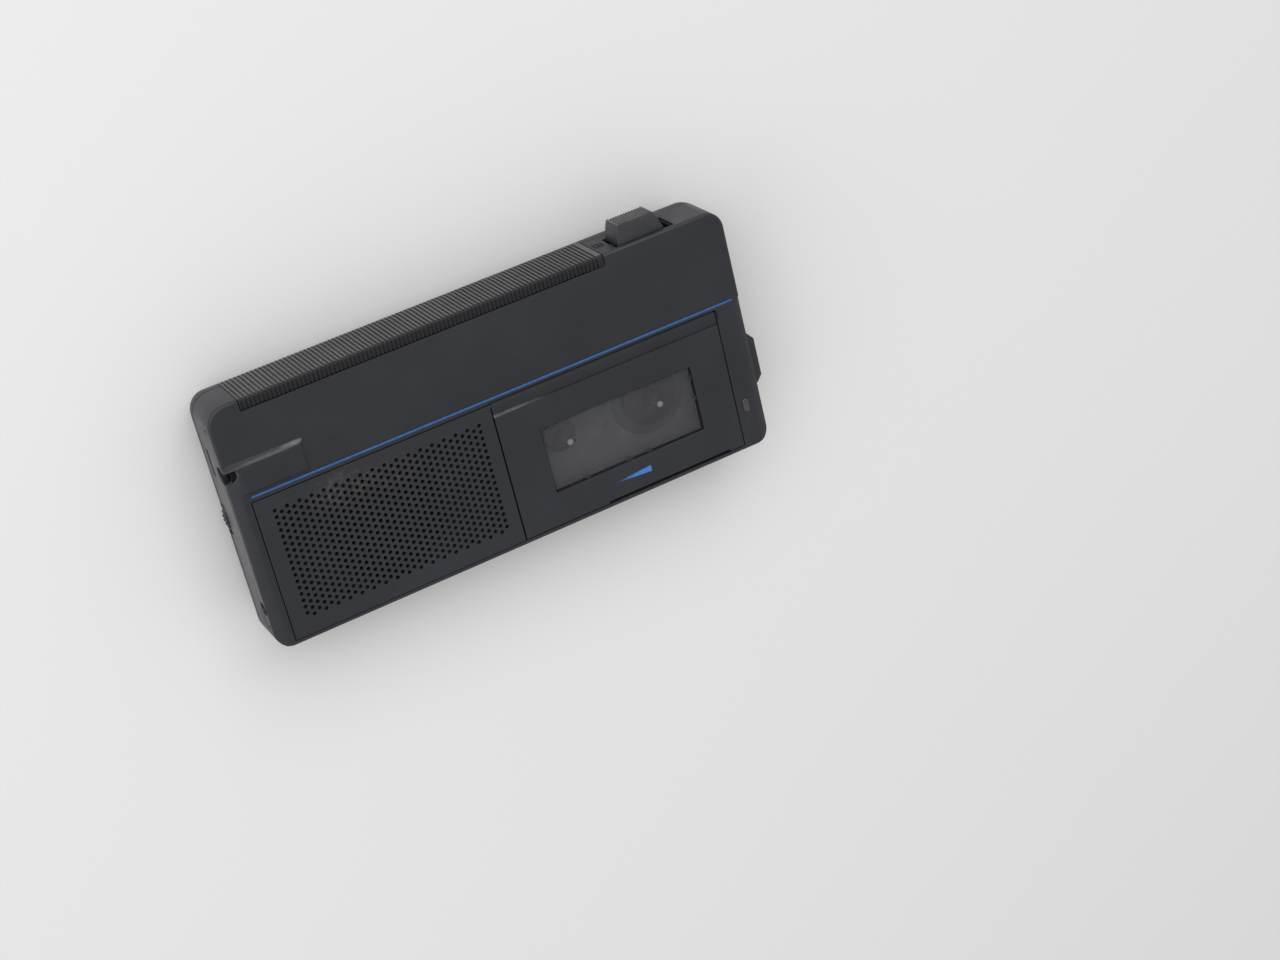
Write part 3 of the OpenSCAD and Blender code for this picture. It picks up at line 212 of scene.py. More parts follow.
class RecorderTrim(bpy.types.PropertyGroup):
    """Accent line, mark, lens and window"""

    accent_colour: colour_prop("Accent", "the inlaid line", (0.026, 0.108, 0.320))
    accent_half: length_prop("Accent half width", "Half width of the paint in the inlaid line", 0.00024)
    mark_colour: colour_prop("Mark", "the wedge on the door", (0.045, 0.200, 0.520))
    mark_dark: colour_prop("Mark tip", "the wedge at its tip", (0.020, 0.070, 0.200))
    mark_tip: place_prop("Mark tip place", "Tip of the wedge on the door", (0.0240, -0.0252, 0.0))
    mark_length: length_prop("Mark length", "Length of the wedge", 0.0096)
    mark_half: length_prop("Mark half height", "Half height of the wedge at its blunt end", 0.00078)
    mark_height: length_prop("Mark height", "How far printed marks stand on their face", 0.00004)
    sign_place: place_prop("Sign", "Middle of the square sign beside the slide", (0.0364, 0.0, 0.0156))
    sign_half: length_prop("Sign half size", "Half of the sign's side", 0.00125)
    sign_line: length_prop("Sign line", "Width of the sign's lines", 0.00042)
    track_depth: length_prop("Track depth", "Depth of the slide's track in the ribbed side", 0.0007)
    slot_half: length_prop("Slot half width", "Half width of the slot in the slide's track", 0.0016)
    # Painted shade: width of the dark strip at the end of the slide's track
    shade_strip_end: length_prop("Liner end", "Width of the dark strip at the end of the slide's track", 0.0005)
    lens_colour: colour_prop("Lens", "the indicator lens", (0.058, 0.056, 0.066))
    lens_crown: length_prop("Lens crown", "Rise of the indicator lens", 0.00030)
    lens_half: length_prop("Lens half width", "Half width of the indicator lens", 0.00080)
    lens_reach: length_prop("Lens reach", "Half length of the indicator lens's straight sides", 0.00105)
    pane_colour: colour_prop("Pane", "the smoked window", (0.093, 0.095, 0.100))
    pane_cover: share_prop("Pane density", "How much each face of the pane hides", 0.32)
    pane_lap: length_prop("Pane lap", "How far the pane reaches behind the door", 0.0016)
    pane_gap: length_prop("Pane gap", "Gap between the pane and the door's opening", 0.00025)
    pane_drop: length_prop("Pane drop", "How far the pane lies below the door's face", 0.00065)
    pane_edge: length_prop("Pane edge", "Bevel of the pane's front edges", 0.00020)


class RecorderMechanism(bpy.types.PropertyGroup):
    """Deck, metals, boards and cells"""

    deck_colour: colour_prop("Deck", "the deck floor", (0.240, 0.242, 0.246))
    plate_colour: colour_prop("Reel plate", "the plate on the deck floor", (0.130, 0.131, 0.134))
    reel_colour: colour_prop("Turntables", "spindles and turntables", (0.044, 0.044, 0.047))
    tip_colour: colour_prop("Tips", "the spindles' tips", (0.860, 0.845, 0.790))
    tip_r: length_prop("Tip radius", "Radius of the spindles' tips", 0.00078)
    plate_r: length_prop("Reel plate radius", "Radius of the plate on the deck floor", 0.0098)
    plate_t: length_prop("Reel plate", "Thickness of the plate on the deck floor", 0.00015)
    steel_colour: colour_prop("Steel", "plated sheet and pins", (0.600, 0.605, 0.620))
    brass_colour: colour_prop("Brass", "the motor pulley", (0.700, 0.500, 0.210))
    acetal_colour: colour_prop("Acetal", "carrier and drive pulley", (0.600, 0.555, 0.430))
    board_colour: colour_prop("Board", "the lacquered boards", (0.030, 0.100, 0.034))
    trace_colour: colour_prop("Traces", "the traces under the lacquer", (0.085, 0.200, 0.070))
    sleeve_colour: colour_prop("Cell sleeve", "the cells' sleeves", (0.030, 0.095, 0.055))
    band_colour: colour_prop("Cell band", "the band on the cells", (0.480, 0.310, 0.110))
    coil_sides: count_prop("Wire sides", "Sides of the spring wires", 12, max=32)
    coil_steps: count_prop("Turn steps", "Steps in each turn of the springs", 40, min=12)


class RecorderStudio(bpy.types.PropertyGroup):
    """Floor, lights and camera"""

    floor_colour: colour_prop("Floor", "the floor", (0.830, 0.828, 0.826))
    floor_size: length_prop("Floor size", "Side of the floor", 6.0)
    world_colour: colour_prop("Surroundings", "the surroundings", (1.000, 1.000, 1.000))
    world_strength: share_prop("Surroundings strength", "Brightness of the surroundings", 0.53, max=4.0)
    key_place: place_prop("Key light place", "Place of the key light", (-0.25, 1.00, 1.10))
    key_power: power_prop("Key light", "Power of the key light", 14.5)
    fill_place: place_prop("Fill light place", "Place of the fill light", (-1.25, 0.15, 0.75))
    fill_power: power_prop("Fill light", "Power of the fill light", 4.2)
    camera_place: place_prop("Camera", "Place of the camera", (-0.16996, 0.23532, 0.53689))
    camera_turn: turn_prop("Camera turn", "Rotation of the camera", CAMERA_TURN)
    focal_length: focus_prop("Focal length", "Focal length in millimetres on a 36 mm sensor", 70.911)


# Shader nodes

def add(tree, kind, **settings):
    """One node; settings name its properties, or its inputs where they start with in_."""
    made = tree.nodes.new(kind)
    for key, value in settings.items():
        if key.startswith("in_"):
            made.inputs[key[3:].replace("_", " ")].default_value = value
        else:
            setattr(made, key, value)
    return made


def shaded(colour, factor):
    return tuple(min(1.0, c * factor) for c in colour)


class Finish:
    """A procedural material with the nodes that make it."""

    def __init__(self, name):
        self.material = bpy.data.materials.new(name)
        self.material.use_nodes = True
        self.tree = self.material.node_tree
        self.shader = self.tree.nodes["Principled BSDF"]
        self.coords = self.mapped()

    def node(self, kind, source=None, socket="Vector", **settings):
        """A node, with an output linked to one of its inputs."""
        made = add(self.tree, kind, **settings)
        if source is not None:
            self.tree.links.new(source, made.inputs[socket])
        return made

    def feed(self, socket, value):
        """Links an output to a socket, or sets the socket to a constant."""
        if hasattr(value, "is_linked"):
            self.tree.links.new(value, socket)
        else:
            socket.default_value = (*value, 1.0) if socket.type == "RGBA" else value

    def put(self, name, value):
        self.feed(self.shader.inputs[name], value)

    def mapped(self, place=(0, 0, 0), turn=(0, 0, 0), scale=(1, 1, 1)):
        """Object coordinates through a mapping that centres, turns and scales them."""
        source = self.node("ShaderNodeTexCoord").outputs["Object"]
        mapping = self.node("ShaderNodeMapping", source, vector_type="TEXTURE", in_Location=place,
                            in_Rotation=turn, in_Scale=scale)
        return mapping.outputs["Vector"]

    def noise(self, size, detail=2.0, roughness=0.5, coords=None):
        """Noise whose patches are about size metres across."""
        source = self.coords if coords is None else coords
        return self.node("ShaderNodeTexNoise", source, in_Scale=1.0 / size, in_Detail=detail,
                         in_Roughness=roughness).outputs["Fac"]

    def cells(self, size, **settings):
        """Cells about size metres across."""
        return self.node("ShaderNodeTexVoronoi", self.coords, in_Scale=1.0 / size, **settings)

    def ramp(self, value, *stops, steps=False):
        """Colour ramp; each stop is a place and a grey."""
        made = self.node("ShaderNodeValToRGB", value, "Fac")
        made.color_ramp.interpolation = "CONSTANT" if steps else "EASE"
        points = made.color_ramp.elements
        while len(points) < len(stops):
            points.new(1.0)
        for point, (place, grey) in zip(points, stops):
            point.position = place
            point.color = (grey, grey, grey, 1.0)
        return made.outputs["Color"]

    def math(self, operation, first, second):
        """Arithmetic on two sockets, or on a socket and a number."""
        made = self.node("ShaderNodeMath", operation=operation)
        for socket, value in zip(made.inputs, (first, second)):
            self.feed(socket, value)
        return made.outputs["Value"]

    def mix(self, share, first, second):
        """Mix of two colours, each a socket or a plain colour."""
        made = self.node("ShaderNodeMix", share, "Factor", data_type="RGBA")
        ends = [s for s in made.inputs if s.type == "RGBA"]
        for socket, value in zip(ends, (first, second)):
            self.feed(socket, value)
        return next(s for s in made.outputs if s.type == "RGBA")

    def drift(self, cloud, span, colour, darker, lighter):
        """Colour that goes from a darker to a lighter shade as the cloud rises through a span."""
        share = self.ramp(cloud, (span[0], 0.0), (span[1], 1.0))
        return self.mix(share, shaded(colour, darker), shaded(colour, lighter))

    def along(self, axis):
        """Place along an axis of the object."""
        return self.node("ShaderNodeSeparateXYZ", self.coords).outputs[axis]

    def above(self, axis, start, end):
        """Share that rises from 0 to 1 between two places along an axis."""
        return self.node("ShaderNodeMapRange", self.along(axis), "Value", interpolation_type="SMOOTHSTEP",
                         in_From_Min=start, in_From_Max=end).outputs["Result"]

    def inverse(self, share):
        return self.math("SUBTRACT", 1.0, share)

    def both(self, first, second):
        return self.math("MULTIPLY", first, second)

    def spot(self, place, size, *stops):
        """Ramp over an ellipsoid that is 1 in its middle and 0 from its surface on."""
        source = self.mapped(place=place, scale=size)
        ball = self.node("ShaderNodeTexGradient", source, gradient_type="SPHERICAL")
        return self.ramp(ball.outputs["Fac"], *stops)

    def hidden(self, reach, inside=False):
        """Ambient occlusion by the piece itself within reach, of its outside or its inside."""
        return self.node("ShaderNodeAmbientOcclusion", inside=inside, only_local=True, samples=6,
                         in_Distance=reach).outputs["AO"]

    def complete(self, tone, roughness, height, depth, strength=1.0):
        """Gives the shader its colour, its roughness and a bump of a depth in metres."""
        self.put("Base Color", tone)
        self.put("Roughness", roughness)
        bump = self.node("ShaderNodeBump", height, "Height", in_Strength=strength, in_Distance=depth)
        self.put("Normal", bump.outputs["Normal"])
        return self.material


# Finishes

def moulding(name, colour, roughness, props, wear=0.6, stains=(), rubs_and_highlights=(), shade_spots=(), shaded_lip=None, matt=None,
             crease_shade=0.0):
    """Grained plastic with cloudy colour, rubbed edges and lint.

    Stains are marks of use. Rubbed places lighten worn edges and paint highlights and light, and dark spots
    paint shadows. Above the lip's heights the colour falls to a darker copy of the case's as painted shade
    and the wear ends, from the places along Y in matt on the surface is matt, and painted shade darkens what
    lies deep.
    """
    made = Finish(name)
    cloud = made.noise(0.016, 5.0, 0.62)
    patchy = made.noise(0.0021, 4.0, 0.7)
    tone = made.drift(cloud, (0.30, 0.72), colour, 0.88, 1.16)
    edges = made.inverse(made.hidden(props.wear_reach, inside=True))
    wear_and_highlight = made.both(made.ramp(edges, (0.30, 0.0), (0.75, 1.0)), made.ramp(patchy, (0.40, 0.0), (0.68, wear)))
    # Painted shade: the front-facing lip falls to a darker copy of the case colour
    if shaded_lip:
        on_shaded_lip = made.above("Z", *shaded_lip)
        tone = made.mix(on_shaded_lip, tone, shaded(props.case_colour, 0.6))
        wear_and_highlight = made.both(wear_and_highlight, made.inverse(on_shaded_lip))
    # Painted shade: ambient occlusion within reach darkens creases and grooves towards the near-black colour
    if crease_shade:
        deep = made.ramp(made.hidden(props.crease_shade_reach), (0.50, crease_shade), (0.94, 0.0))
        tone = made.mix(deep, tone, props.shade_and_black_colour)
    # Rubbed places, painted highlights and painted light: streaks that lighten towards the wear colour
    for place, size, share in rubs_and_highlights:
        streak = made.spot(place, size, (0.0, 0.0), (0.6, share))
        streak = made.both(streak, made.ramp(patchy, (0.25, 0.45), (0.60, 1.0)))
        wear_and_highlight = made.math("MAXIMUM", wear_and_highlight, streak)
    tone = made.mix(wear_and_highlight, tone, props.wear_and_highlight_colour)
    lint = made.cells(0.0042)
    chosen = made.node("ShaderNodeSeparateColor", lint.outputs["Color"], "Color").outputs["Red"]
    speck = made.both(made.ramp(lint.outputs["Distance"], (0.0, 1.0), (0.036, 0.0)),
                      made.ramp(chosen, (0.86, 0.0), (0.93, 0.75)))
    tone = made.mix(speck, tone, props.dust_colour)
    for place, size, share in stains:
        crumbs = made.ramp(made.noise(0.0016, 5.0, 0.75), (0.42, 0.0), (0.70, 1.0))
        soil = made.both(made.spot(place, size, (0.0, 0.0), (0.65, share)), crumbs)
        tone = made.mix(soil, tone, props.dust_colour)
    # Painted shadows: spots that darken towards the near-black colour
    for place, size, share in shade_spots:
        tone = made.mix(made.spot(place, size, (0.24, 0.0), (0.34, share)), tone, props.shade_and_black_colour)
    sheen = made.ramp(cloud, (0.25, roughness + 0.03), (0.75, roughness - 0.03))
    sheen = made.mix(wear_and_highlight, sheen, (roughness * 0.8,) * 3)
    if matt:
        sheen = made.mix(made.above("Y", *matt), sheen, (0.78,) * 3)
    if shaded_lip:
        sheen = made.mix(on_shaded_lip, sheen, (0.72,) * 3)
    return made.complete(tone, sheen, made.noise(props.grain_size, 3.0, 0.55), props.grain_depth)


def paint(name, colour, ground=None, bare=None, gloss=0.5):
    """Inlaid or printed paint with a slightly uneven coat, which gives way to the ground where bare says."""
    made = Finish(name)
    coat = made.noise(0.0011, 4.0, 0.65)
    tone = made.drift(coat, (0.28, 0.75), colour, 0.80, 1.22)
    if bare:
        tone = made.mix(bare(made), tone, ground)
    made.put("Specular IOR Level", gloss)
    return made.complete(tone, made.ramp(coat, (0.2, 0.46), (0.8, 0.34)), made.noise(0.0003), 0.000006)


def smoked_pane(name, trim):
    """Smoked clear plastic, hazed and smudged."""
    made = Finish(name)
    smear = made.noise(0.006, 5.0, 0.65, made.mapped(turn=(0, 0, 0.5), scale=(2.2, 0.7, 1)))
    tone = made.drift(smear, (0.30, 0.75), trim.pane_colour, 0.86, 1.18)
    made.put("Alpha", trim.pane_cover)
    made.put("Specular IOR Level", 0.5)
    return made.complete(tone, made.ramp(smear, (0.25, 0.20), (0.80, 0.34)), made.noise(0.004, 3.0), 0.00002)


def plated_metal(name, colour, roughness, brush=(1, 1, 1)):
    """Plated or turned metal with fine lines along one direction and cloudy tarnish."""
    made = Finish(name)
    lines = made.noise(0.00022, 3.0, 0.6, made.mapped(scale=brush))
    cloud = made.noise(0.004, 4.0, 0.6)
    tone = made.drift(cloud, (0.30, 0.75), colour, 0.80, 1.08)
    made.put("Metallic", 1.0)
    sheen = made.ramp(cloud, (0.25, roughness + 0.07), (0.75, roughness - 0.05))
    return made.complete(tone, sheen, lines, 0.000006)


def plain_moulding(name, colour, roughness, gloss=0.5):
    """Natural or grey engineering plastic with faint flow clouds."""
    made = Finish(name)
    cloud = made.noise(0.007, 4.0, 0.6)
    tone = made.drift(cloud, (0.30, 0.72), colour, 0.86, 1.12)
    made.put("Specular IOR Level", gloss)
    sheen = made.ramp(cloud, (0.25, roughness + 0.06), (0.75, roughness - 0.06))
    return made.complete(tone, sheen, made.noise(0.0003, 3.0), 0.000008)


def lacquered_board(name, works):
    """Circuit board: traces that show through green lacquer."""
    made = Finish(name)
    cells = made.cells(0.0032, feature="F1", distance="MANHATTAN").outputs["Distance"]
    lines = made.ramp(cells, (0.30, 0.0), (0.36, 1.0), (0.52, 1.0), (0.58, 0.0))
    tone = made.mix(lines, works.board_colour, works.trace_colour)
    sheen = made.ramp(made.noise(0.005, 3.0), (0.3, 0.42), (0.7, 0.30))
    return made.complete(tone, sheen, lines, 0.00003, 0.6)


def milky_lens(name, colour):
    """Translucent lens with a little colour drift."""
    made = Finish(name)
    haze = made.noise(0.0018, 3.0)
    tone = made.drift(haze, (0.3, 0.7), colour, 0.86, 1.14)
    made.put("Subsurface Weight", 0.25)
    made.put("Subsurface Scale", 0.0006)
    made.put("Subsurface Radius", (1.0, 0.9, 1.0))
    return made.complete(tone, made.ramp(haze, (0.2, 0.36), (0.8, 0.26)), made.noise(0.0004), 0.000004)


def rubber(name, colour):
    """Matt rubber with a powdery bloom."""
    made = Finish(name)
    bloom = made.noise(0.0024, 5.0, 0.7)
    tone = made.drift(bloom, (0.35, 0.8), colour, 1.0, 2.0)
    return made.complete(tone, made.ramp(bloom, (0.3, 0.72), (0.8, 0.86)), made.noise(0.00025), 0.00001)


def pressed_paper(name, colour):
    """Felted paper of the loudspeaker's cone."""
    made = Finish(name)
    felt = made.noise(0.0007, 5.0, 0.75, made.mapped(scale=(1, 3, 1)))
    tone = made.drift(felt, (0.35, 0.7), colour, 0.75, 1.5)
    return made.complete(tone, made.ramp(made.noise(0.002), (0.3, 0.95), (0.7, 0.82)), felt, 0.00004)


def printed_sleeve(name, works, start, length, band):
    """Sleeve of a cell with a plain band at its contact end."""
    made = Finish(name)
    share = made.math("DIVIDE", made.math("SUBTRACT", made.along("X"), start), length)
    stripe = made.ramp(share, (0.0, 0.0), (1.0 - band, 1.0), steps=True)
    cloud = made.noise(0.005, 4.0)
    tone = made.mix(stripe, works.sleeve_colour, works.band_colour)
    tone = made.mix(made.ramp(cloud, (0.3, 0.0), (0.8, 0.25)), tone, (0.02, 0.02, 0.02))
    made.put("Metallic", 0.55)
    return made.complete(tone, made.ramp(cloud, (0.3, 0.28), (0.7, 0.38)), made.noise(0.0008), 0.000006)


def paper_floor(name, colour):
    """Pale paper with a faint tooth."""
    made = Finish(name)
    tone = made.mix(made.noise(0.35, 3.0), shaded(colour, 0.985), shaded(colour, 1.01))
    made.put("Specular IOR Level", 0.2)
    return made.complete(tone, 0.75, made.noise(0.0009, 3.0), 0.00002)


# Meshes

def join(group, *links):
    """Links outputs to inputs; each link is a node, its output, another node and its input."""
    for giver, output, taker, socket in links:
        group.links.new(giver.outputs[output], taker.inputs[socket])


def shade_by_angle(group, start, end):
    """Shades a mesh smooth and keeps edges above an angle sharp."""
    plain = add(group, "GeometryNodeRemoveAttribute", in_Name="custom_normal")
    faces = add(group, "GeometryNodeSetShadeSmooth")
    edges = add(group, "GeometryNodeSetShadeSmooth", domain="EDGE")
    angle = add(group, "GeometryNodeInputMeshEdgeAngle")
    below = add(group, "FunctionNodeCompare", operation="LESS_EQUAL", in_B=SHARP_ANGLE)
    join(group, (start, "Geometry", plain, "Geometry"), (plain, "Geometry", faces, "Geometry"),
         (faces, "Geometry", edges, "Geometry"), (angle, "Unsigned Angle", below, "A"),
         (below, "Result", edges, "Shade Smooth"), (edges, "Geometry", end, "Geometry"))


def mark_edges(group, start, end):
    """Marks the edges above an angle for softening, apart from those in one ball."""
    angle = add(group, "GeometryNodeInputMeshEdgeAngle")
    steep = add(group, "FunctionNodeCompare", operation="GREATER_THAN", in_B=SHARP_ANGLE)
    place = add(group, "GeometryNodeInputPosition")
    apart = add(group, "ShaderNodeVectorMath", operation="DISTANCE")
    outside = add(group, "FunctionNodeCompare", operation="GREATER_THAN")
    both = add(group, "FunctionNodeBooleanMath", operation="AND")
    store = add(group, "GeometryNodeStoreNamedAttribute", data_type="FLOAT", domain="EDGE",
                in_Name="bevel_weight_edge")
    value = next(i for i, s in enumerate(store.inputs) if s.name == "Value" and s.enabled)
    join(group, (start, "Geometry", store, "Geometry"), (angle, "Unsigned Angle", steep, "A"),
         (place, "Position", apart, 0), (start, "Centre", apart, 1), (apart, "Value", outside, "A"),
         (start, "Radius", outside, "B"), (steep, "Result", both, 0), (outside, "Result", both, 1),
         (both, "Boolean", store, value), (store, "Geometry", end, "Geometry"))


def group_of(name, build, *inputs):
    """A geometry node group, which is built when it is first asked for."""
    if name in bpy.data.node_groups:
        return bpy.data.node_groups[name]
    group = bpy.data.node_groups.new(name, "GeometryNodeTree")
    for socket, kind in (("Geometry", "NodeSocketGeometry"), *inputs):
        group.interface.new_socket(socket, in_out="INPUT", socket_type=kind)
    group.interface.new_socket("Geometry", in_out="OUTPUT", socket_type="NodeSocketGeometry")
    build(group, add(group, "NodeGroupInput"), add(group, "NodeGroupOutput"))
    return group


def give(piece, name, kind, **settings):
    """A modifier with its settings."""
    made = piece.modifiers.new(name, kind)
    for key, value in settings.items():
        setattr(made, key, value)
    return made


def give_shading(piece):
    give(piece, "Shade", "NODES", node_group=group_of("Shade by angle", shade_by_angle))


def give_marks(piece, centre, radius):
    """Marks a piece's edges for softening, apart from those in a ball."""
    group = group_of("Mark edges", mark_edges, ("Centre", "NodeSocketVector"), ("Radius", "NodeSocketFloat"))
    marks = give(piece, "Mark", "NODES", node_group=group)
    values = {"Centre": tuple(centre), "Radius": radius}
    for socket in group.interface.items_tree:
        if socket.name in values:
            marks[socket.identifier] = values[socket.name]


def dress(node, material, edge=0.0, flatten=True, crisp=None):
    """Gives a CAD node its finish and softens its edges, apart from those in the ball that crisp gives."""
    piece = NODES[node]
    if piece.material_slots:
        for slot in piece.material_slots:
            slot.material = material
    else:
        piece.data.materials.append(material)
    give(piece, "Merge", "WELD", merge_threshold=WELD_DISTANCE)
    if flatten:
        give(piece, "Flatten", "DECIMATE", decimate_type="DISSOLVE", angle_limit=FLAT_ANGLE)
    if crisp:
        give_marks(piece, *crisp)
    if edge:
        give(piece, "Soften", "BEVEL", width=edge, segments=2, profile=0.5, angle_limit=SHARP_ANGLE,
             limit_method="WEIGHT" if crisp else "ANGLE", use_clamp_overlap=False, material=-1)
    give_shading(piece)


def new_object(name, work, material):
    """Turns a bmesh into an object with a finish."""
    mesh = bpy.data.meshes.new(name)
    work.to_mesh(mesh)
    work.free()
    mesh.materials.append(material)
    made = bpy.data.objects.new(name, mesh)
    bpy.context.scene.collection.objects.link(made)
    return made


def new_piece(name, work, material, body, smooth=True):
    """Turns a bmesh into a piece that rides on a body, with its material in a slot."""
    bmesh.ops.remove_doubles(work, verts=work.verts, dist=MERGE_DISTANCE)
    bmesh.ops.recalc_face_normals(work, faces=work.faces)
    piece = new_object(name, work, material)
    if smooth:
        give_shading(piece)
    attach(piece, body)
    return piece


def soften(work, edges, width, segments):
    """Bevels edges by a width."""
    bmesh.ops.bevel(work, geom=edges, offset=width, offset_type="OFFSET", segments=segments, profile=0.5,
                    affect="EDGES", material=-1, clamp_overlap=True)


def block(work, size, place):
    """A block round a place; gives back its vertices."""
    verts = bmesh.ops.create_cube(work, size=1.0)["verts"]
    bmesh.ops.scale(work, vec=size, verts=verts)
    bmesh.ops.translate(work, vec=place, verts=verts)
    return verts


def plate(work, outline, low, high, bevel=0.0):
    """A flat plate on the XY plane between two heights, with bevelled upper edges."""
    face = work.faces.new([work.verts.new((x, y, low)) for x, y in outline])
    grown = bmesh.ops.extrude_face_region(work, geom=[face])["geom"]
    top = [v for v in grown if isinstance(v, bmesh.types.BMVert)]
    bmesh.ops.translate(work, vec=(0, 0, high - low), verts=top)
    if bevel:
        soften(work, [e for e in work.edges if all(v in top for v in e.verts)], bevel, 2)


def side_plates(areas, thickness, place):
    """Flat plates that face the ribbed side, round a place; an area is its ends along X and down Z."""
    work = bmesh.new()
    for x0, x1, y0, y1 in areas:
        plate(work, [(x0, y0), (x1, y0), (x1, y1), (x0, y1)], 0.0, thickness)
    turn = Matrix.Rotation(-math.pi / 2, 3, "X")
    bmesh.ops.rotate(work, verts=work.verts, cent=(0, 0, 0), matrix=turn)
    bmesh.ops.translate(work, vec=place, verts=work.verts)
    return work


def lathe(outline, place, steps=40):
    """Turns an outline of radius and height round the vertical axis through place."""
    work = bmesh.new()
    verts = [work.verts.new((r, 0, z)) for r, z in outline]
    edges = [work.edges.new(pair) for pair in zip(verts, verts[1:])]
    bmesh.ops.spin(work, geom=verts + edges, cent=(0, 0, 0), axis=(0, 0, 1), angle=2 * math.pi,
                   steps=steps, use_merge=True)
    bmesh.ops.translate(work, vec=place, verts=work.verts)
    return work


def coil(start, end, first_r, last_r, wire_r, turns, axis_y, axis_z, works):
    """Round wire wound along X as one closed tube, with a radius that may taper."""
    work = bmesh.new()
    run = end - start - 2 * wire_r
    steps = int(turns * works.coil_steps)
    bmesh.ops.create_circle(work, segments=works.coil_sides, radius=wire_r)
    bmesh.ops.translate(work, vec=(start + wire_r, first_r, 0), verts=work.verts)
    bmesh.ops.spin(work, geom=work.verts[:] + work.edges[:], cent=(0, 0, 0), axis=(1, 0, 0),
                   dvec=(run / steps, 0, 0), angle=turns * 2 * math.pi, steps=steps, use_merge=False)
    for vert in work.verts:
        share = min(1.0, max(0.0, (vert.co.x - start - wire_r) / run))
        radial = Vector((0, vert.co.y, vert.co.z))
        vert.co += radial.normalized() * (last_r - first_r) * share
    ends = [e for e in work.edges if e.is_boundary]
    bmesh.ops.holes_fill(work, edges=ends, sides=0)
    bmesh.ops.translate(work, vec=(0, axis_y, axis_z), verts=work.verts)
    return work


# Operators

class RECORDER_OT_case_shells(bpy.types.Operator):
    """Dresses both case halves with grained plastic and soft, rubbed edges"""

    bl_idname = "recorder.case_shells"
    bl_label = "Case shells"

    def execute(self, context):
        props = context.scene.recorder_mouldings
        # The front case carries painted light on its left end, a painted highlight on the pad and painted
        # shadows at the door corner and the earphone socket
        front = moulding("front_moulding", props.case_colour, props.case_roughness, props, wear=0.75,
                         rubs_and_highlights=PAD_WEAR_AND_HIGHLIGHT + END_PAINTED_LIGHT, shade_spots=CASE_PAINTED_SHADOWS)
        rear = moulding("rear_moulding", props.case_colour, props.case_roughness + 0.03, props, wear=0.45)
        socket_mouth = centre_of("earphone_socket")
        socket_mouth.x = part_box("front_case")[0].x
        dress("front_case", front, props.edge_radius, crisp=(socket_mouth, CRISP_RADIUS))
        dress("rear_case", rear, props.edge_radius)
        return {"FINISHED"}


class RECORDER_OT_front_trim(bpy.types.Operator):
    """Dresses the inlaid line and the perforated panel"""

    bl_idname = "recorder.front_trim"
    bl_label = "Front trim"

    def execute(self, context):
        props, trim, _ = values_of(context)
        panel = moulding("panel_moulding", props.door_colour, props.case_roughness, props, wear=0.3,
                         stains=GRILLE_DUST)
        dress("speaker_grille", panel, flatten=False)
        middle = centre_of("accent_strip").y
        half, rim = trim.accent_half, trim.accent_half * 1.25

        def rims(made):
            upper = made.above("Y", middle + half, middle + rim)
            lower = made.above("Y", middle - rim, middle - half)
            return made.math("ADD", upper, made.inverse(lower))

        inlay = paint("accent_inlay", trim.accent_colour, shaded(props.case_colour, 0.7), rims)
        dress("accent_strip", inlay)
        return {"FINISHED"}


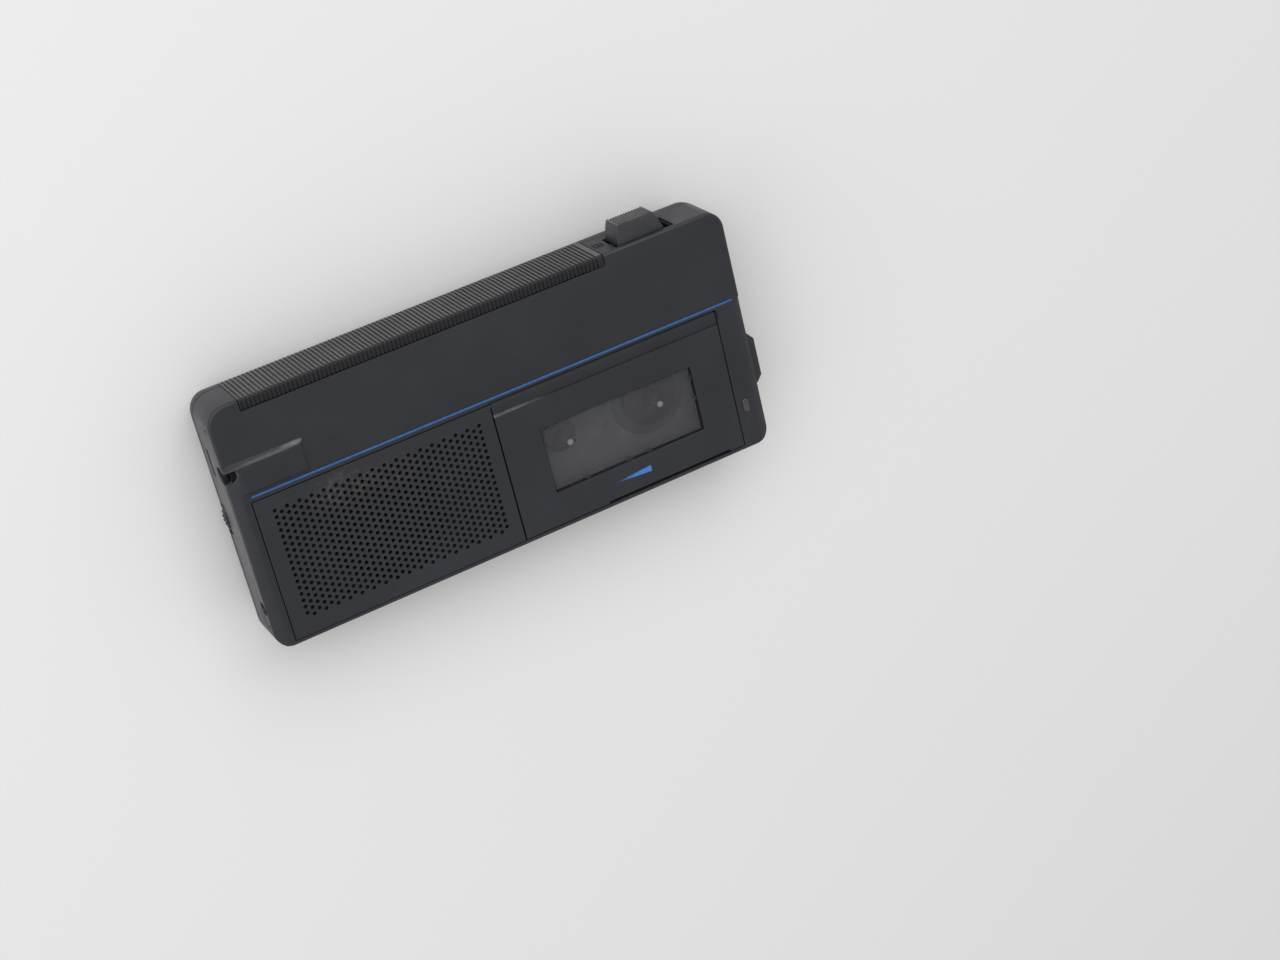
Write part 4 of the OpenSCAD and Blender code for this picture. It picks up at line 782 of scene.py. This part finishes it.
class RECORDER_OT_cassette_door(bpy.types.Operator):
    """Dresses the door, its pane, pin and catch, and adds the wedge mark and the pane's clips"""

    bl_idname = "recorder.cassette_door"
    bl_label = "Cassette door"

    def execute(self, context):
        props, trim, works = values_of(context)
        # The door's crease carries a painted highlight; its line also bounds the matt band
        hinge_line = DOOR_WEAR_AND_HIGHLIGHT[0][0][1]
        door = moulding("door_moulding", props.door_colour, props.case_roughness - 0.02, props, wear=0.6,
                        rubs_and_highlights=DOOR_WEAR_AND_HIGHLIGHT, matt=(hinge_line, hinge_line + 0.6 * MM))
        steel = plated_metal("pin_steel", works.steel_colour, 0.32, brush=(4, 1, 1))
        dress("cassette_door", door, props.edge_radius)
        dress("door_hinge_pin", steel)
        dress("door_catch", steel, props.edge_radius / 2)
        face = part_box("cassette_door")[1].z
        self.add_mark(face, trim)
        self.add_pane(face, trim)
        self.add_clips(face, door, trim)
        return {"FINISHED"}

    def add_mark(self, face, trim):
        """Wedge that points to the left below the window, darker towards its tip."""
        tip, middle = trim.mark_tip[0], trim.mark_tip[1]
        back, half, blunt = tip + trim.mark_length, trim.mark_half, 0.02 * MM
        work = bmesh.new()
        outline = [(tip, middle - blunt), (back, middle - half), (back, middle + half), (tip, middle + blunt)]
        plate(work, outline, face - SUNK, face + trim.mark_height)

        def fade(made):
            return made.inverse(made.above("X", tip, tip + trim.mark_length * 0.6))

        ink = paint("wedge_paint", trim.mark_colour, trim.mark_dark, fade)
        new_piece("wedge_mark", work, ink, "door", False)

    def add_pane(self, face, trim):
        """Moulded pane: a flange behind the door, and a block that fills the door's opening."""
        low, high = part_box("door_window")
        draft = 0.03 * MM
        work = bmesh.new()
        block(work, high - low, (low + high) / 2)
        work.normal_update()
        front = [f for f in work.faces if f.normal.z > 0.9]
        rise = face - trim.pane_drop - high.z
        margin = trim.pane_lap + trim.pane_gap
        bmesh.ops.inset_region(work, faces=front, thickness=margin, use_even_offset=True)
        bmesh.ops.inset_region(work, faces=front, thickness=draft, depth=rise, use_even_offset=True)
        soften(work, list({e for f in front for e in f.edges}), trim.pane_edge, 3)
        pane = new_piece("door_pane", work, smoked_pane("smoked_pane", trim), "door")
        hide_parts("door_window")

    def add_clips(self, face, material, trim):
        """Small lugs that hold the pane at the lower and right edges of its opening."""
        low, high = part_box("door_window")
        bottom, right = low.y + trim.pane_lap, high.x - trim.pane_lap
        inner, outer = trim.pane_gap + 0.2 * MM, 0.1 * MM
        base, top = high.z, face - trim.pane_drop + 0.1 * MM
        work = bmesh.new()
        for x, half in PANE_CLIPS_BELOW:
            slim = half * CLIP_TAPER
            plate(work, [(x - half, bottom - outer), (x + half, bottom - outer), (x + slim, bottom + inner),
                         (x - slim, bottom + inner)], base, top, CLIP_EDGE)
        for y, half in PANE_CLIPS_RIGHT:
            slim = half * CLIP_TAPER
            plate(work, [(right + outer, y - half), (right + outer, y + half), (right - inner, y + slim),
                         (right - inner, y - slim)], base, top, CLIP_EDGE)
        new_piece("pane_clips", work, material, "door")


class RECORDER_OT_battery_bay(bpy.types.Operator):
    """Dresses the ribbed cover, the tray, the cells and their contacts"""

    bl_idname = "recorder.battery_bay"
    bl_label = "Battery bay"

    def execute(self, context):
        props, _, works = values_of(context)
        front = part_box("battery_cover")[1].z
        # Painted light and shade: the cover is lighter so its ribbed side reads as lit, its front-facing lip
        # is darker, and the grooves between the ribs are darkened
        cover = moulding("cover_moulding", props.cover_lit_colour, props.case_roughness + 0.02, props, wear=0.45,
                         stains=COVER_STAINS, shaded_lip=(front - 0.9 * MM, front - 0.3 * MM), crease_shade=0.9)
        dress("battery_cover", cover, props.edge_radius * 0.6)
        dress("battery_tray", plain_moulding("tray_moulding", props.inner_colour, 0.5), props.edge_radius)
        for node in ("cell_left", "cell_right"):
            low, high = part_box(node)
            sleeve = printed_sleeve(f"{node}_sleeve", works, low.x, high.x - low.x, band=0.24)
            dress(node, sleeve, edge=0.4 * MM)
        steel = plated_metal("contact_steel", works.steel_colour, 0.28, brush=(1, 4, 1))
        dress("contact_plate", steel, FINE_EDGE)
        self.add_spring(steel, works)
        return {"FINISHED"}

    def add_spring(self, steel, works):
        """Conical spring with the plate that carries it."""
        low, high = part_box("contact_spring")
        axis_y, axis_z = centre_of("cell_left").yz
        foot = low.x + SPRING_PLATE.x - 0.1 * MM
        work = coil(foot, high.x, *CELL_SPRING, axis_y, axis_z, works)
        place = (low.x + SPRING_PLATE.x / 2, axis_y, axis_z + SPRING_PLATE.z / 2)
        back = block(work, SPRING_PLATE, place)
        sides = [e for e in work.edges if e.verts[0] in back and e.verts[1] in back]
        soften(work, sides, 0.06 * MM, 2)
        spring = new_piece("cell_spring", work, steel, "case")
        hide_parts("contact_spring")


class RECORDER_OT_controls(bpy.types.Operator):
    """Dresses the slide, the button, the wheel and what they move, and adds a sign, dark strips of painted
    shade in the slide's track and a spring
    """

    bl_idname = "recorder.controls"
    bl_label = "Controls"

    def execute(self, context):
        props, trim, works = values_of(context)
        edge = props.edge_radius
        # Painted shade darkens the creases of the controls and the grooves of the slide
        control = moulding("control_moulding", props.control_colour, 0.42, props, wear=0.55, crease_shade=0.8)
        # Painted light: the slide takes a lighter copy of the control colour, so that its top reads as lit
        knob = moulding("knob_moulding", shaded(props.control_colour, 1.2), 0.42, props, wear=0.9,
                        rubs_and_highlights=KNOB_TOP_LIGHT, shade_spots=self.groove_shades(), crease_shade=1.0)
        inner = plain_moulding("switch_moulding", props.inner_colour, 0.45)
        dress("slide_knob", knob, edge * 0.5)
        dress("end_button", control, edge * 2.0)
        dress("volume_wheel", control, edge * 0.7)
        dress("slide_carrier", plain_moulding("carrier_acetal", works.acetal_colour, 0.42), edge)
        dress("switch_board", lacquered_board("switch_lacquer", works))
        dress("record_switch", inner, edge)
        dress("volume_control", inner, edge)
        self.add_spring(works)
        self.add_sign(paint("sign_ink", props.shade_and_black_colour, gloss=0.08), trim)
        # The dark strips in the slide's track are painted shade
        self.add_track_shade(plain_moulding("track_shade_matt", props.shade_and_black_colour, 0.85, gloss=0.05), trim)
        return {"FINISHED"}

    def groove_shades(self):
        """Painted shade in the grip grooves of the slide."""
        low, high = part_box("slide_knob")
        places = [low.x + GROOVE_START + GROOVE_PITCH * i for i in range(GROOVE_COUNT)]
        return [((x, high.y, (low.z + high.z) / 2), GROOVE_SHADE_REACH, GROOVE_SHADE_SHARE) for x in places]

    def add_spring(self, works):
        """Return spring of the end button."""
        low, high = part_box("button_spring")
        middle = centre_of("button_spring")
        steel = plated_metal("spring_steel", works.steel_colour, 0.26)
        work = coil(low.x, high.x, *RETURN_SPRING, middle.y, middle.z, works)
        spring = new_piece("return_spring", work, steel, "case")
        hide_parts("button_spring")
        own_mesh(spring)

    def add_sign(self, material, trim):
        """Small square sign with a block in it, on the ribbed side beside the slide."""
        half, inner = trim.sign_half, trim.sign_half - trim.sign_line
        areas = ((-half, half, inner, half), (-half, half, -half, -inner), (-half, -inner, -inner, inner),
                 (inner, half, -inner, inner), (-0.3 * half, 0.4 * half, -0.4 * half, 0.4 * half))
        place = (trim.sign_place[0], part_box("front_case")[1].y - SUNK, trim.sign_place[2])
        work = side_plates(areas, trim.mark_height + SUNK, place)
        new_piece("slide_sign", work, material, "case", False)

    def add_track_shade(self, material, trim):
        """Painted shade: thin dark strips on the floor of the slide's track, round the slot for its stem."""
        travel = joint_of("knob_slide")["range_m"]
        low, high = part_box("slide_knob")
        left, right = low.x + travel[0], high.x + travel[1]
        slot, sunk, middle = trim.slot_half, 0.01 * MM, (low.z + high.z) / 2
        areas = ((left, right, slot, middle - low.z), (left, right, middle - high.z, -slot),
                 (right - trim.shade_strip_end, right, -slot, slot))
        place = (0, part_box("front_case")[1].y - trim.track_depth - sunk, middle)
        work = side_plates(areas, trim.mark_height + sunk, place)
        new_piece("track_shade_strips", work, material, "case", False)


class RECORDER_OT_sockets_and_lamp(bpy.types.Operator):
    """Dresses the sockets, the microphone and the indicator, and adds the crown of its lens"""

    bl_idname = "recorder.sockets_and_lamp"
    bl_label = "Sockets and lamp"

    def execute(self, context):
        props, trim, works = values_of(context)
        socket = plain_moulding("socket_moulding", props.shade_and_black_colour, 0.6, gloss=0.12)
        for node in ("earphone_socket", "charge_socket"):
            dress(node, socket, FINE_EDGE)
        lens = milky_lens("lamp_lens", trim.lens_colour)
        dress("indicator_lens", lens)
        dress("microphone", plated_metal("capsule_steel", works.steel_colour, 0.34), edge=0.2 * MM)
        dress("mic_grommet", rubber("grommet_rubber", (0.014, 0.014, 0.014)), edge=0.2 * MM)
        self.add_crown(lens, trim)
        return {"FINISHED"}

    def add_crown(self, lens, trim):
        """Crowned oval that stands a little out of the front."""
        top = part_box("indicator_lens")[1].z
        x, y = centre_of("indicator_lens").xy
        work = bmesh.new()
        bmesh.ops.create_circle(work, cap_ends=True, segments=48, radius=trim.lens_half)
        for vert in work.verts:
            vert.co.y += math.copysign(trim.lens_reach, vert.co.y)
        bmesh.ops.solidify(work, geom=work.faces[:], thickness=-(trim.lens_crown + 0.1 * MM))
        work.normal_update()
        crest = max(v.co.z for v in work.verts)
        rim = [e for e in work.edges if all(v.co.z > crest - 0.01 * MM for v in e.verts)]
        soften(work, rim, trim.lens_crown, 5)
        bmesh.ops.translate(work, vec=(x, y, top + trim.lens_crown - crest), verts=work.verts)
        new_piece("lens_crown", work, lens, "case")


class RECORDER_OT_loudspeaker(bpy.types.Operator):
    """Dresses the basket, the cone and the magnet of the loudspeaker"""

    bl_idname = "recorder.loudspeaker"
    bl_label = "Loudspeaker"

    def execute(self, context):
        steel = context.scene.recorder_mechanism.steel_colour
        ferrite = plain_moulding("magnet_ferrite", (0.060, 0.060, 0.063), 0.55)
        dress("speaker_basket", plated_metal("basket_steel", steel, 0.36), edge=0.1 * MM)
        dress("speaker_cone", pressed_paper("cone_paper", (0.022, 0.020, 0.018)))
        dress("speaker_magnet", ferrite, edge=0.3 * MM)
        return {"FINISHED"}


class RECORDER_OT_circuit_board(bpy.types.Operator):
    """Dresses the main board and its parts"""

    bl_idname = "recorder.circuit_board"
    bl_label = "Circuit board"

    def execute(self, context):
        chips = plain_moulding("chip_moulding", (0.012, 0.012, 0.013), 0.42)
        dress("main_board", lacquered_board("main_lacquer", context.scene.recorder_mechanism))
        dress("board_parts", chips, edge=0.2 * MM)
        return {"FINISHED"}


class RECORDER_OT_tape_deck(bpy.types.Operator):
    """Dresses the deck, its spindles, drive and heads, and adds the spindles' tips and a reel plate"""

    bl_idname = "recorder.tape_deck"
    bl_label = "Tape deck"

    def execute(self, context):
        props, _, works = values_of(context)
        metal, deck = works.steel_colour, works.deck_colour
        reel = plain_moulding("reel_moulding", works.reel_colour, 0.42)
        head = plated_metal("head_metal", metal, 0.18, brush=(1, 1, 4))
        acetal = plain_moulding("pulley_acetal", works.acetal_colour, 0.40)
        dress("deck_tray", plain_moulding("deck_moulding", deck, 0.48), edge=0.12 * MM)
        for node in ("supply_spindle", "takeup_spindle"):
            dress(node, reel, FINE_EDGE)
        dress("drive_pulley", acetal, FINE_EDGE)
        dress("pulley_axle", plain_moulding("axle_paint", deck, 0.48))
        dress("drive_belt", rubber("belt_rubber", (0.012, 0.012, 0.012)))
        dress("motor", plated_metal("motor_can", metal, 0.30), edge=0.3 * MM)
        dress("motor_pulley", plated_metal("pulley_brass", works.brass_colour, 0.26), edge=0.06 * MM)
        dress("head_plate", plated_metal("deck_steel", metal, 0.30, brush=(4, 1, 1)), FINE_EDGE)
        dress("record_head", head, edge=0.15 * MM)
        dress("erase_head", plain_moulding("erase_moulding", props.inner_colour, 0.35), edge=0.15 * MM)
        for body in ("supply", "takeup"):
            self.add_tip(body, works)
        self.add_plate(works)
        return {"FINISHED"}

    def add_tip(self, body, works):
        """Domed nylon tip of one spindle, with a collar."""
        x, y, _ = joint_of(f"{body}_spin")["pos_m"]
        outline = [(share * works.tip_r, height) for share, height in TIP_OUTLINE]
        work = lathe(outline, (x, y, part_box(f"{body}_spindle")[1].z))
        nylon = plain_moulding(f"{body}_nylon", works.tip_colour, 0.32)
        new_piece(f"{body}_tip", work, nylon, body)

    def add_plate(self, works):
        """Thin round plate on the deck floor under the take-up turntable."""
        x, y, _ = joint_of("takeup_spin")["pos_m"]
        r, t = works.plate_r, works.plate_t
        outline = [(PLATE_HOLE, -SUNK), (r, -SUNK), (r, t * 0.6), (r - t * 0.4, t), (PLATE_HOLE, t),
                   (PLATE_HOLE, -SUNK)]
        work = lathe(outline, (x, y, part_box("pulley_axle")[1].z), steps=96)
        finish = plain_moulding("plate_moulding", works.plate_colour, 0.5)
        new_piece("reel_plate", work, finish, "case")


class RECORDER_OT_fasteners(bpy.types.Operator):
    """Dresses the screws of the case and of the deck"""

    bl_idname = "recorder.fasteners"
    bl_label = "Fasteners"

    def execute(self, context):
        steel = context.scene.recorder_mechanism.steel_colour
        dress("case_screws", plated_metal("screw_black", shaded(steel, 0.12), 0.42), FINE_EDGE)
        dress("deck_screws", plated_metal("screw_steel", shaded(steel, 0.8), 0.32), FINE_EDGE)
        return {"FINISHED"}


class RECORDER_OT_stage(bpy.types.Operator):
    """Makes the floor, the lights, the surroundings and the camera"""

    bl_idname = "recorder.stage"
    bl_label = "Stage"

    def execute(self, context):
        studio = context.scene.recorder_studio
        self.add_floor(studio)
        self.add_light("key_light", studio.key_power, studio.key_place, (2.0, 1.1))
        self.add_light("fill_light", studio.fill_power, studio.fill_place, (1.2, 0.9))
        self.set_world(context.scene, studio)
        self.add_camera(context.scene, studio)
        context.scene.view_settings.view_transform = "Standard"
        return {"FINISHED"}

    def add_floor(self, studio):
        """Pale paper floor just under the back of the case."""
        work = bmesh.new()
        bmesh.ops.create_grid(work, x_segments=2, y_segments=2, size=studio.floor_size / 2)
        bmesh.ops.translate(work, vec=(0, 0, CAD_BOX[0].z - 0.05 * MM), verts=work.verts)
        floor = new_object("floor", work, paper_floor("paper_floor", studio.floor_colour))

    def add_light(self, name, power, place, size):
        """Rectangular soft light that faces the object."""
        data = bpy.data.lights.new(name, "AREA")
        data.shape = "RECTANGLE"
        data.size, data.size_y = size
        data.energy = power
        light = bpy.data.objects.new(name, data)
        light.location = place
        light.rotation_euler = (-Vector(place)).to_track_quat("-Z", "Y").to_euler()
        bpy.context.scene.collection.objects.link(light)

    def set_world(self, scene, studio):
        """Even surroundings of a pale studio."""
        world = bpy.data.worlds.new("studio")
        world.use_nodes = True
        back = world.node_tree.nodes["Background"]
        back.inputs["Color"].default_value = (*studio.world_colour, 1.0)
        back.inputs["Strength"].default_value = studio.world_strength
        scene.world = world

    def add_camera(self, scene, studio):
        """Camera at the photograph's viewing angle."""
        data = bpy.data.cameras.new("camera")
        data.sensor_width = 36.0
        data.lens = studio.focal_length
        data.clip_start, data.clip_end = 0.01, 20.0
        camera = bpy.data.objects.new("camera", data)
        camera.location = studio.camera_place
        camera.rotation_euler = studio.camera_turn
        scene.collection.objects.link(camera)
        scene.camera = camera


class RECORDER_PT_sidebar(bpy.types.Panel):
    """Lists the pieces of the recorder and the values that can be changed"""

    bl_idname = "RECORDER_PT_sidebar"
    bl_label = "Recorder"
    bl_space_type = "VIEW_3D"
    bl_region_type = "UI"
    bl_category = "Recorder"

    def draw(self, context):
        column = self.layout.column()
        for operator in OPERATORS:
            column.operator(operator.bl_idname)
        for key, group in GROUPS.items():
            values = getattr(context.scene, key)
            box = self.layout.box()
            for name in group.__annotations__:
                box.prop(values, name)


GROUPS = {
    "recorder_mouldings": RecorderMouldings,
    "recorder_trim": RecorderTrim,
    "recorder_mechanism": RecorderMechanism,
    "recorder_studio": RecorderStudio,
}
OPERATORS = (
    RECORDER_OT_case_shells,
    RECORDER_OT_front_trim,
    RECORDER_OT_cassette_door,
    RECORDER_OT_battery_bay,
    RECORDER_OT_controls,
    RECORDER_OT_sockets_and_lamp,
    RECORDER_OT_loudspeaker,
    RECORDER_OT_circuit_board,
    RECORDER_OT_tape_deck,
    RECORDER_OT_fasteners,
    RECORDER_OT_stage,
)


def register():
    for cls in (*GROUPS.values(), *OPERATORS, RECORDER_PT_sidebar):
        bpy.utils.register_class(cls)
    for key, group in GROUPS.items():
        setattr(bpy.types.Scene, key, bpy.props.PointerProperty(type=group))


def unregister():
    for key in GROUPS:
        delattr(bpy.types.Scene, key)
    for cls in (RECORDER_PT_sidebar, *reversed(OPERATORS), *reversed(tuple(GROUPS.values()))):
        bpy.utils.unregister_class(cls)


def main():
    register()
    for operator in OPERATORS:
        area, name = operator.bl_idname.split(".")
        getattr(getattr(bpy.ops, area), name)()


if __name__ == "__main__":
    main()
